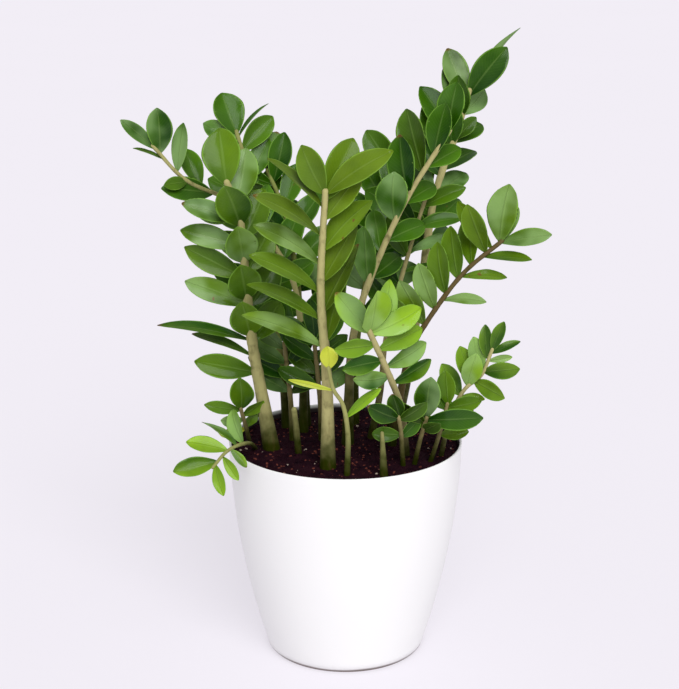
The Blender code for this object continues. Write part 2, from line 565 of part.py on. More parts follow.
def boolean(made, helper, operation):
    modifier = made.modifiers.new(operation.title(), "BOOLEAN")
    modifier.operation = operation
    modifier.solver = "EXACT"
    modifier.use_self = True  # leaflets' bases cross inside the stalk
    modifier.object = helper
    hide_helper(helper)


for old in list(bpy.data.objects):
    bpy.data.objects.remove(old, do_unlink=True)

white_plastic = new_material("white_plastic", (0.90, 0.91, 0.94), 0.32)
dark_soil = new_material("dark_soil", (0.050, 0.022, 0.020), 0.95)

new_object("pot", turned(pot_profile()), white_plastic)
soil = new_object("soil", turned(soil_profile()), dark_soil)

stalks = [Stalk(frond) for frond in FRONDS]
sockets = bmesh.new()
for stalk in stalks:
    add_socket(sockets, stalk)
boolean(soil, new_object("socket_cutter", sockets, dark_soil), "DIFFERENCE")

grown_before = [tree_of(turned(pot_profile())), tree_of(turned(soil_profile()))]
stalk_trees = [plain_tree(add_tube, stalk.rings()) for stalk in stalks]
for number, (frond, stalk) in enumerate(zip(FRONDS, stalks)):
    other_stalks = stalk_trees[:number] + stalk_trees[number + 1:]
    leaflets, trees = place_leaflets(frond, stalk, grown_before + other_stalks, seed=number)
    grown_before += trees
    green = new_material(frond.name, frond.colour, 0.35)
    body = bmesh.new()
    add_tube(body, stalk.rings())
    grown = new_object(frond.name, body, green)
    if leaflets:
        blades = bmesh.new()
        for leaf in leaflets:
            add_blade(blades, leaf)
        boolean(grown, new_object(frond.name + "_blades", blades, green), "UNION")
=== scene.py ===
import math
import random
from collections import namedtuple
from functools import partial
from itertools import product

import bmesh
import bpy
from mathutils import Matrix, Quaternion, Vector
from mathutils.bvhtree import BVHTree


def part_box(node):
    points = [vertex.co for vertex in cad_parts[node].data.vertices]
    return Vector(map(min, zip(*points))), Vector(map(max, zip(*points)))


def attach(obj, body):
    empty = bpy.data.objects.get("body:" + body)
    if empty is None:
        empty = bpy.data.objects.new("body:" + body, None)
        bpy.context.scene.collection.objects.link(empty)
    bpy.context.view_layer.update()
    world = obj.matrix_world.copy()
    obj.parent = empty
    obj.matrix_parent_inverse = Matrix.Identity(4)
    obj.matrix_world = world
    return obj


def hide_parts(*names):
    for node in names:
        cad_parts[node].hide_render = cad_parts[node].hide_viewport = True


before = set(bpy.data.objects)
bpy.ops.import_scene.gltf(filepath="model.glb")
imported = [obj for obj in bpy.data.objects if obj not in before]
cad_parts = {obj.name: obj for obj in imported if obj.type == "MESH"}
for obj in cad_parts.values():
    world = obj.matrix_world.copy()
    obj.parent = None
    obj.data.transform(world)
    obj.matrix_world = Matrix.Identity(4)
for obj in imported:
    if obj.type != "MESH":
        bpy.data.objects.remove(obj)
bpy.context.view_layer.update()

# ---- Studio ------------------------------------------------------------------------------------------
# A plain pale floor in soft, even light: a bright sky all round and one wide soft lamp, high in front
# and a little to the right. The camera stands 1.7 m in front of the pot, above the leaves, and looks
# down at it.

FLOOR_SIZE = 60.0
FLOOR_PALE = (0.300, 0.290, 0.308)
FLOOR_SHADE = (0.290, 0.280, 0.298)
FLOOR_GLOW = (0.600, 0.577, 0.622)  # the floor is lit from below too, as a light table is
SKY = (0.98, 0.97, 1.00)
SKY_STRENGTH = 0.44
LAMP_STRENGTH = 2.50
LAMP_SOFTNESS = 40  # degrees across, seen from the plant
LAMP_TURN = (47, 0, 13)  # degrees about X, Y and Z; a lamp that isn't turned shines straight down

CAMERA_PLACE = (-0.0065, -1.705, 0.832)
CAMERA_PITCH = 15.94  # degrees below the horizon
CAMERA_LENS = 86.27
CAMERA_SENSOR = 36.0


def is_vector(value):
    if isinstance(value, Wire):
        return value.socket.type in ("VECTOR", "RGBA")
    return isinstance(value, (tuple, Vector))


class Wire:
    """A node's output. Sums on it add Math nodes, and Vector Math nodes where a value is a vector."""

    def __init__(self, tree, socket=None):
        self.tree = tree
        self.socket = socket

    def node(self, kind, settings=None, sockets=None, output=0):
        """A new node in this tree: its settings are set first, then its sockets filled or linked."""
        made = self.tree.nodes.new(kind)
        for name, value in (settings or {}).items():
            if name == "stops":
                self.set_stops(made.color_ramp, value)
            else:
                setattr(made, name, value)
        for name, value in (sockets or {}).items():
            if isinstance(value, Wire):
                self.tree.links.new(value.socket, made.inputs[name])
            elif value is not None:
                made.inputs[name].default_value = value
        return Wire(self.tree, made.outputs[output]) if len(made.outputs) else made

    @staticmethod
    def set_stops(color_ramp, stops):
        """Stops of a ramp, as (place, colour) from low to high."""
        while len(color_ramp.elements) < len(stops):
            color_ramp.elements.new(1.0)
        for element, (place, colour) in zip(color_ramp.elements, stops):
            element.position = place
            element.color = (*colour, 1.0)

    def sum(self, operation, a, b=None, c=None):
        """One Math node, or one Vector Math node where a value is a vector."""
        values = [value for value in (a, b, c) if value is not None]
        if not any(is_vector(value) for value in values):
            return self.node("ShaderNodeMath", {"operation": operation}, dict(enumerate(values)))
        if operation == "MULTIPLY" and not (is_vector(a) and is_vector(b)):
            vector, number = (a, b) if is_vector(a) else (b, a)
            return self.node("ShaderNodeVectorMath", {"operation": "SCALE"}, {0: vector, 3: number})
        output = 1 if operation in ("DOT_PRODUCT", "LENGTH") else 0
        return self.node("ShaderNodeVectorMath", {"operation": operation}, dict(enumerate(values)), output)

    def __add__(self, other):
        return self.sum("ADD", self, other)

    def __radd__(self, other):
        return self.sum("ADD", other, self)

    def __sub__(self, other):
        return self.sum("SUBTRACT", self, other)

    def __rsub__(self, other):
        return self.sum("SUBTRACT", other, self)

    def __mul__(self, other):
        return self.sum("MULTIPLY", self, other)

    def __rmul__(self, other):
        return self.sum("MULTIPLY", other, self)

    def __truediv__(self, other):
        return self.sum("DIVIDE", self, other)

    def __pow__(self, other):
        return self.sum("POWER", self, other)

    def __abs__(self):
        return self.sum("ABSOLUTE", self)

    def part(self, axis):
        """One number of a vector: 0, 1 or 2."""
        return self.node("ShaderNodeSeparateXYZ", {}, {0: self}, axis)

    def rise(self, low, high):
        """0 below low and 1 above high, with soft ends."""
        return self.node("ShaderNodeMapRange", {"interpolation_type": "SMOOTHSTEP"},
                         {0: self, 1: low, 2: high})

    def mix(self, a, b):
        """Colour a where this is 0, and colour b where it is 1."""
        a, b = ((*colour, 1.0) if isinstance(colour, tuple) else colour for colour in (a, b))
        return self.node("ShaderNodeMix", {"data_type": "RGBA"}, {0: self, 6: a, 7: b}, 2)

    def noise(self, scale, detail=2.0, output=0):
        """Soft noise from 0 to 1 at this place. Scale is how many lumps there are in a metre."""
        return self.node("ShaderNodeTexNoise", {}, {"Vector": self, "Scale": scale, "Detail": detail},
                         output)


class Finish:
    """A new material: its Principled shader, and the wires that its nodes are built from."""

    def __init__(self, name, **constants):
        self.material = bpy.data.materials.new(name)
        self.material.use_nodes = True
        tree = self.material.node_tree
        self.shader = tree.nodes["Principled BSDF"]
        self.start = Wire(tree)
        self.place = self.start.node("ShaderNodeTexCoord", output=3)
        for socket, value in constants.items():
            self.shader.inputs[socket.replace("_", " ")].default_value = value

    def attribute(self, name, output):
        return self.start.node("ShaderNodeAttribute", {"attribute_name": name}, output=output)

    def connect(self, colour, roughness, height=None, depth=0.001):
        """Colour, roughness, and a bump of a height from 0 to 1 over a depth in metres."""
        links = self.material.node_tree.links
        links.new(colour.socket, self.shader.inputs["Base Color"])
        links.new(roughness.socket, self.shader.inputs["Roughness"])
        if height:
            bump = self.start.node("ShaderNodeBump", {}, {"Distance": depth, "Height": height})
            links.new(bump.socket, self.shader.inputs["Normal"])
        return self.material


def new_object(name, mesh, *materials):
    made = bpy.data.objects.new(name, mesh)
    bpy.context.scene.collection.objects.link(made)
    for material in materials:
        mesh.materials.append(material)
    return made


def floor_paint():
    finish = Finish("floor_paint", Specular_IOR_Level=0.0, Emission_Color=(*FLOOR_GLOW, 1.0),
                    Emission_Strength=1.0)
    cloud = finish.place.noise(1.5)
    return finish.connect(cloud.mix(FLOOR_SHADE, FLOOR_PALE), 0.55 + cloud * 0.1)


floor_mesh = bpy.data.meshes.new("floor")
floor_corners = [(x * FLOOR_SIZE / 2, y * FLOOR_SIZE / 2, 0)
                 for x, y in ((-1, -1), (1, -1), (1, 1), (-1, 1))]
floor_mesh.from_pydata(floor_corners, [], [(0, 1, 2, 3)])
new_object("floor", floor_mesh, floor_paint())

world = bpy.data.worlds.new("sky")
bpy.context.scene.world = world
world.use_nodes = True
world.node_tree.nodes["Background"].inputs["Color"].default_value = (*SKY, 1.0)
world.node_tree.nodes["Background"].inputs["Strength"].default_value = SKY_STRENGTH

lamp = bpy.data.lights.new("soft_lamp", "SUN")
lamp.energy = LAMP_STRENGTH
lamp.angle = math.radians(LAMP_SOFTNESS)
lamp_object = bpy.data.objects.new("soft_lamp", lamp)
lamp_object.rotation_euler = [math.radians(turn) for turn in LAMP_TURN]
bpy.context.scene.collection.objects.link(lamp_object)

camera = bpy.data.cameras.new("camera")
camera.sensor_fit = "VERTICAL"
camera.sensor_height = CAMERA_SENSOR
camera.lens = CAMERA_LENS
camera_object = bpy.data.objects.new("camera", camera)
camera_object.location = CAMERA_PLACE
camera_object.rotation_euler = (math.radians(90 - CAMERA_PITCH), 0, 0)
bpy.context.scene.collection.objects.link(camera_object)
bpy.context.scene.camera = camera_object
bpy.context.scene.view_settings.view_transform = "Standard"

# ---- Pot ---------------------------------------------------------------------------------------------
# A thin-walled nursery pot of white plastic, moulded in one piece: the wall bellies out to a rounded
# lip, and the foot is rounded off. The plastic has a satin face with the faintest ripple of the mould.

POT_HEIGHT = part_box("pot")[1][2]
RIM_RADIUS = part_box("pot")[1][0]
FOOT_RADIUS = 0.0855
STRAIGHT_SHARE = 0.155  # how much of the wall's taper is straight; the rest is a parabola
WALL = 0.0026
POT_FLOOR = 0.004
FOOT_ROUND = 0.003
LATHE_SIDES = 144
WALL_RINGS = 30
WHITE = (0.892, 0.890, 0.878)
WHITE_SHADE = (0.868, 0.866, 0.862)
FOOT_CONTACT_SHADE = (0.130, 0.085, 0.075)  # painted contact shadow: a thin dark line where the pot stands
CONTACT_SHADE_TOP = 0.0040
INNER_WALL_SHADE = (0.020, 0.010, 0.011)  # painted shade: the inner wall between the soil and the lip, as it lies in shade under the leaves
SHADE_BELOW_RIM = 0.003


def pot_radius(z):
    """Outside radius of the pot's wall at height z."""
    down = (POT_HEIGHT - z) / POT_HEIGHT
    fall = STRAIGHT_SHARE * down + (1 - STRAIGHT_SHARE) * down * down
    return RIM_RADIUS - (RIM_RADIUS - FOOT_RADIUS) * fall


def turned(name, profile, material):
    """A closed solid from a profile of (radius, height) points that starts and ends on the axis."""
    turns = [2 * math.pi * k / LATHE_SIDES for k in range(LATHE_SIDES)]
    points = [(radius * math.cos(turn), radius * math.sin(turn), height)
              for radius, height in profile[1:-1] for turn in turns]
    last = len(points) - LATHE_SIDES
    first_pole, last_pole = len(points), len(points) + 1
    faces = []
    for k in range(LATHE_SIDES):
        n = (k + 1) % LATHE_SIDES
        faces.append((first_pole, n, k))
        faces += [(ring + k, ring + n, ring + LATHE_SIDES + n, ring + LATHE_SIDES + k)
                  for ring in range(0, last, LATHE_SIDES)]
        faces.append((last_pole, last + k, last + n))
    mesh = bpy.data.meshes.new(name)
    mesh.from_pydata(points + [(0, 0, profile[0][1]), (0, 0, profile[-1][1])], [], faces)
    mesh.shade_smooth()
    return new_object(name, mesh, material)


def arc(centre, radius, start, end, steps):
    turns = [math.radians(start + (end - start) * k / steps) for k in range(steps + 1)]
    return [(centre[0] + radius * math.cos(turn), centre[1] + radius * math.sin(turn)) for turn in turns]


def pot_profile():
    """Underside, rounded foot, wall, rounded lip, inner wall and floor."""
    lip = WALL / 2
    wall_top = POT_HEIGHT - lip
    heights = [FOOT_ROUND + (wall_top - FOOT_ROUND) * k / WALL_RINGS for k in range(WALL_RINGS + 1)]
    foot = arc((FOOT_RADIUS - FOOT_ROUND, FOOT_ROUND), FOOT_ROUND, -90, -10, 5)
    outer = [(pot_radius(z), z) for z in heights]
    crest = arc((RIM_RADIUS - lip, wall_top), lip, 15, 165, 7)
    inner = [(pot_radius(z) - WALL, z) for z in reversed(heights) if z > POT_FLOOR]
    corner = (pot_radius(POT_FLOOR) - WALL, POT_FLOOR)
    return [(0, 0), *foot, *outer, *crest, *inner, corner, (0, POT_FLOOR)]


def pot_plastic():
    finish = Finish("pot_plastic", Coat_Roughness=0.25, Coat_Weight=0.15)
    ripple = finish.place.noise(14, 3.0)
    grain = finish.place.noise(900, 1.0)
    x, y, z = (finish.place.part(axis) for axis in range(3))
    radius = finish.start.sum("LENGTH", finish.start.node("ShaderNodeCombineXYZ", {}, {"X": x, "Y": y}))
    # painted shade: a dark, rougher band on the inner wall just below the lip, where the leaves shade it
    inner = 1 - radius.rise(RIM_RADIUS - WALL, RIM_RADIUS - WALL * 0.7)
    under_rim = 1 - (z + ripple * 0.004).rise(POT_HEIGHT - SHADE_BELOW_RIM, POT_HEIGHT + 0.001)
    upper_wall = z.rise(POT_HEIGHT * 0.9, POT_HEIGHT * 0.91)
    inner_shade = inner * under_rim * upper_wall
    # painted contact shadow: the outside of the foot, just above the floor, is painted dark
    foot = 1 - (z - ripple * 0.003).rise(CONTACT_SHADE_TOP * 0.3, CONTACT_SHADE_TOP)
    clean = ripple.mix(WHITE_SHADE, WHITE)
    colour = (foot * 0.95).mix(inner_shade.mix(clean, INNER_WALL_SHADE), FOOT_CONTACT_SHADE)
    return finish.connect(colour, 0.30 + ripple * 0.10 + grain * 0.04 + inner_shade * 0.4,
                          ripple * 0.7 + grain * 0.3, 0.0002)


pot = turned("white_pot", pot_profile(), pot_plastic())
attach(pot, "root")
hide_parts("pot")

# ---- Soil --------------------------------------------------------------------------------------------
# Dark peaty potting soil fills the pot to just below its lip. Its surface is rough, and crumbs of peat,
# shreds of reddish bark and a few pale grit grains lie on it, as it was poured and pressed by hand.

SOIL_BELOW_RIM = 0.0085
SOIL_MOUND = 0.0035  # how much higher the soil lies in the middle
SOIL_EDGE = POT_HEIGHT - SOIL_BELOW_RIM
WALL_STEPS = 7  # straight steps that the plain solid of the pot's wall is made of
FIT_GAP = 0.0004
CRUMB_SIZE = 0.0021
CRUMB_DENSITY = 80000.0  # to a square metre
CRUMB_REACH = 0.1225  # from the pot's axis: crumbs stay just off its wall
LUMP_HEIGHT = 0.0016
PEAT_DARK = (0.005, 0.001, 0.004)
PEAT_BROWN = (0.028, 0.007, 0.012)
BARK_RED = (0.165, 0.046, 0.032)
GRIT_PALE = (0.450, 0.360, 0.300)


def soil_side(z):
    """Radius of the soil at height z. Between two of its rings the wall lies inside its true curve."""
    wall_inside = (RIM_RADIUS - FOOT_RADIUS) * (1 - STRAIGHT_SHARE) / (4 * WALL_STEPS * WALL_STEPS)
    return pot_radius(z) - WALL - FIT_GAP - wall_inside


def soil_height(radius):
    """Height of the soil surface at a distance from the pot's axis."""
    return SOIL_EDGE + SOIL_MOUND * (1 - (radius / soil_side(SOIL_EDGE)) ** 2)


def soil_profile():
    bottom = POT_FLOOR + FIT_GAP
    side_steps = 12
    rings = 50
    side = [(soil_side(z), z) for z in (bottom + (SOIL_EDGE - bottom) * k / side_steps
                                        for k in range(side_steps + 1))]
    reach = side[-1][0]
    top = [(reach * k / rings, soil_height(reach * k / rings)) for k in range(rings - 1, 0, -1)]
    return [(0, bottom), *side, *top, (0, soil_height(0))]


def new_tree(name, **sizes):
    """A Geometry Nodes tree with named number inputs: its wires by name."""
    tree = bpy.data.node_groups.new(name, "GeometryNodeTree")
    tree.interface.new_socket("Geometry", in_out="OUTPUT", socket_type="NodeSocketGeometry")
    tree.interface.new_socket("geometry", in_out="INPUT", socket_type="NodeSocketGeometry")
    for size, value in sizes.items():
        kind = "NodeSocketInt" if isinstance(value, int) else "NodeSocketFloat"
        tree.interface.new_socket(size, in_out="INPUT", socket_type=kind).default_value = value
    given = tree.nodes.new("NodeGroupInput")
    return {"start": Wire(tree), **{s.name: Wire(tree, s) for s in given.outputs if s.name}}


def close_tree(geometry, materials):
    """Realizes the instances and sets a material, or leaves those already set where there is none."""
    end = geometry.tree.nodes.new("NodeGroupOutput")
    real = geometry.node("GeometryNodeRealizeInstances", {}, {0: geometry})
    for material in materials:
        real = real.node("GeometryNodeSetMaterial", {}, {"Geometry": real, "Material": material})
    geometry.tree.links.new(real.socket, end.inputs[0])
    return geometry.tree


def grown(obj, tree, **sizes):
    """The object's mesh as the tree makes it, kept as a plain mesh on the same object."""
    modifier = obj.modifiers.new(tree.name, "NODES")
    modifier.node_group = tree
    sockets = {item.name: item.identifier for item in tree.interface.items_tree}
    for size, value in sizes.items():
        modifier[sockets[size]] = value
    graph = bpy.context.evaluated_depsgraph_get()
    mesh = bpy.data.meshes.new_from_object(obj.evaluated_get(graph), depsgraph=graph,
                                           preserve_all_data_layers=True)
    obj.modifiers.remove(modifier)
    old = obj.data
    obj.data = mesh
    bpy.data.meshes.remove(old)
    mesh.name = obj.name
    return obj


def soil_crumb():
    finish = Finish("soil_crumb", Specular_IOR_Level=0.04)
    tone = finish.attribute("tone", 2)
    fine = finish.place.noise(700, 3.0)
    patch = finish.place.noise(60, 2.0)
    peat = (fine * 0.6 + patch * 0.5).rise(0.35, 0.75).mix(PEAT_DARK, PEAT_BROWN)
    bark = tone.rise(0.82, 0.90).mix(peat, BARK_RED)
    colour = tone.rise(0.985, 0.990).mix(bark, GRIT_PALE)
    return finish.connect(colour, 0.75 + fine * 0.2, fine, 0.0015)


def crumb_tree(material):
    """Crumbs scattered over the upward faces of the soil, each turned, sized and toned by chance."""
    wires = new_tree("crumbs", density=CRUMB_DENSITY, crumb=CRUMB_SIZE, roughness=LUMP_HEIGHT,
                     edge=CRUMB_REACH, seed=5)
    start = wires["start"]
    place = start.node("GeometryNodeInputPosition")
    lumps = start.node("ShaderNodeTexNoise", {}, {"Vector": place, "Scale": 130.0, "Detail": 3.0})
    level = place.part(2)
    on_top = level.sum("GREATER_THAN", level, SOIL_EDGE - 0.0005)
    lift = start.node("ShaderNodeCombineXYZ", {}, {"Z": (lumps - 0.5) * wires["roughness"] * 3.0})
    rough = start.node("GeometryNodeSetPosition", {},
                       {"Geometry": wires["geometry"], "Selection": on_top, "Offset": lift})
    flat = start.node("ShaderNodeCombineXYZ", {}, {"X": place.part(0), "Y": place.part(1)})
    radius = start.sum("LENGTH", flat)
    inside = radius.sum("LESS_THAN", radius, wires["edge"])
    spots = start.node("GeometryNodeDistributePointsOnFaces", {"distribute_method": "RANDOM"},
                       {"Mesh": rough, "Selection": on_top.sum("MULTIPLY", on_top, inside),
                        "Density": wires["density"], "Seed": wires["seed"]})

    def chance(low, high, seed, kind="FLOAT"):
        output = {"FLOAT_VECTOR": 0, "FLOAT": 1}[kind]
        first = 0 if kind == "FLOAT_VECTOR" else 2
        return start.node("FunctionNodeRandomValue", {"data_type": kind},
                          {first: low, first + 1: high, "Seed": seed}, output)

    crumb = start.node("GeometryNodeMeshIcoSphere", {}, {"Radius": 1.0, "Subdivisions": 1})
    size = chance(0.35, 1.0, 1) ** 2.0
    shape = chance((0.7, 0.55, 0.4), (1.6, 1.0, 0.8), 2, "FLOAT_VECTOR")
    turn = chance((-0.5, -0.5, 0.0), (0.5, 0.5, 2 * math.pi), 3, "FLOAT_VECTOR")
    crumbs = start.node("GeometryNodeInstanceOnPoints", {},
                        {"Points": spots, "Instance": crumb, "Rotation": turn,
                         "Scale": shape * (size * wires["crumb"])})
    toned = start.node("GeometryNodeStoreNamedAttribute", {"data_type": "FLOAT", "domain": "INSTANCE"},
                       {"Geometry": crumbs, "Name": "tone", "Value": chance(0.0, 1.0, 4)})
    loose = start.node("GeometryNodeRealizeInstances", {}, {0: toned})
    crumble = start.node("ShaderNodeTexNoise", {}, {"Vector": place, "Scale": 900.0}, 1) - (0.5, 0.5, 0.5)
    broken = start.node("GeometryNodeSetPosition", {},
                        {"Geometry": loose, "Offset": crumble * wires["crumb"]})
    both = start.node("GeometryNodeJoinGeometry", {}, {0: rough})
    both.tree.links.new(broken.socket, both.socket.node.inputs[0])
    return close_tree(both, [material])


soil = turned("soil_bed", soil_profile(), soil_crumb())
grown(soil, crumb_tree(soil.data.materials[0]))
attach(soil, "root")
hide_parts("soil")

# ---- Fronds ------------------------------------------------------------------------------------------
# Each frond is one grown piece: a fleshy stalk that swells at its foot, and thick glossy leaflets in
# two ranks on its upper part. It rises from a root under the soil. Old fronds are dark green with pale
# beige stalks, and the youngest are light green. Leaflets turn a little to lie clear of each other.
#
# foot: place on the soil, as shares of its radius. path: the stalk's further points, from its foot.
# radius: at the foot and at the tip. face: where the leaflets' upper sides look.
# A row holds the leaflets of one side: their count, where they stand along the stalk (0 foot, 1 tip),
# and the first and last length and angle to the stalk, in degrees. lift brings a row forward to the
# face, roll turns its blades' upper sides to the tip of the stalk, width is a share of the length.
# A single leaflet has a row of its own, with one place, length and angle.

Frond = namedtuple("Frond", "name foot path radius face rows leaf")
Row = namedtuple("Row", "side count span length spread lift roll width")
Leaflet = namedtuple("Leaflet", "base along facing length width droop")

ROOT_DEPTH = 0.030  # how deep a stalk stands in the soil
FOOT_SWELLING = 0.45  # the share of a foot's radius that is swelling
SWELLING_HEIGHT = 0.090  # the swelling falls to a third over this height
BLADE_THICKNESS = 0.0014  # room at the midrib; a leaflet thins to its margin
BLADE_CUP = 0.20  # rise of the margins over the midrib, as a share of the half width
BLADE_DROOP = 0.35  # how far a leaflet bends back along its length, in radians
BLADE_FULLNESS = 0.8  # 1 narrows a leaflet evenly to its ends, and less keeps it broad for longer
LEAF_INSET = 0.3  # where a leaflet starts in the stalk, as a share of the stalk's radius
LEAF_CLEARANCE = 0.0012  # kept between a leaflet and anything it could touch
LEAF_FREE_FROM = 0.10  # the share of a leaflet's length that may lie against its neighbour's base
LENGTH_JITTER = 0.05  # how far a leaflet strays from its row: a share of its length
ANGLE_JITTERS = (4, 5, 8)  # and degrees of spread, lift and roll
STALK_SIDES = 8
RING_SPACING = 0.030

LEFT, RIGHT = -1, 1


def single(side, place, length, spread, lift, roll, width):
    """A row of one leaflet."""
    return Row(side, 1, (place, place), (length, length), (spread, spread), lift, roll, width)


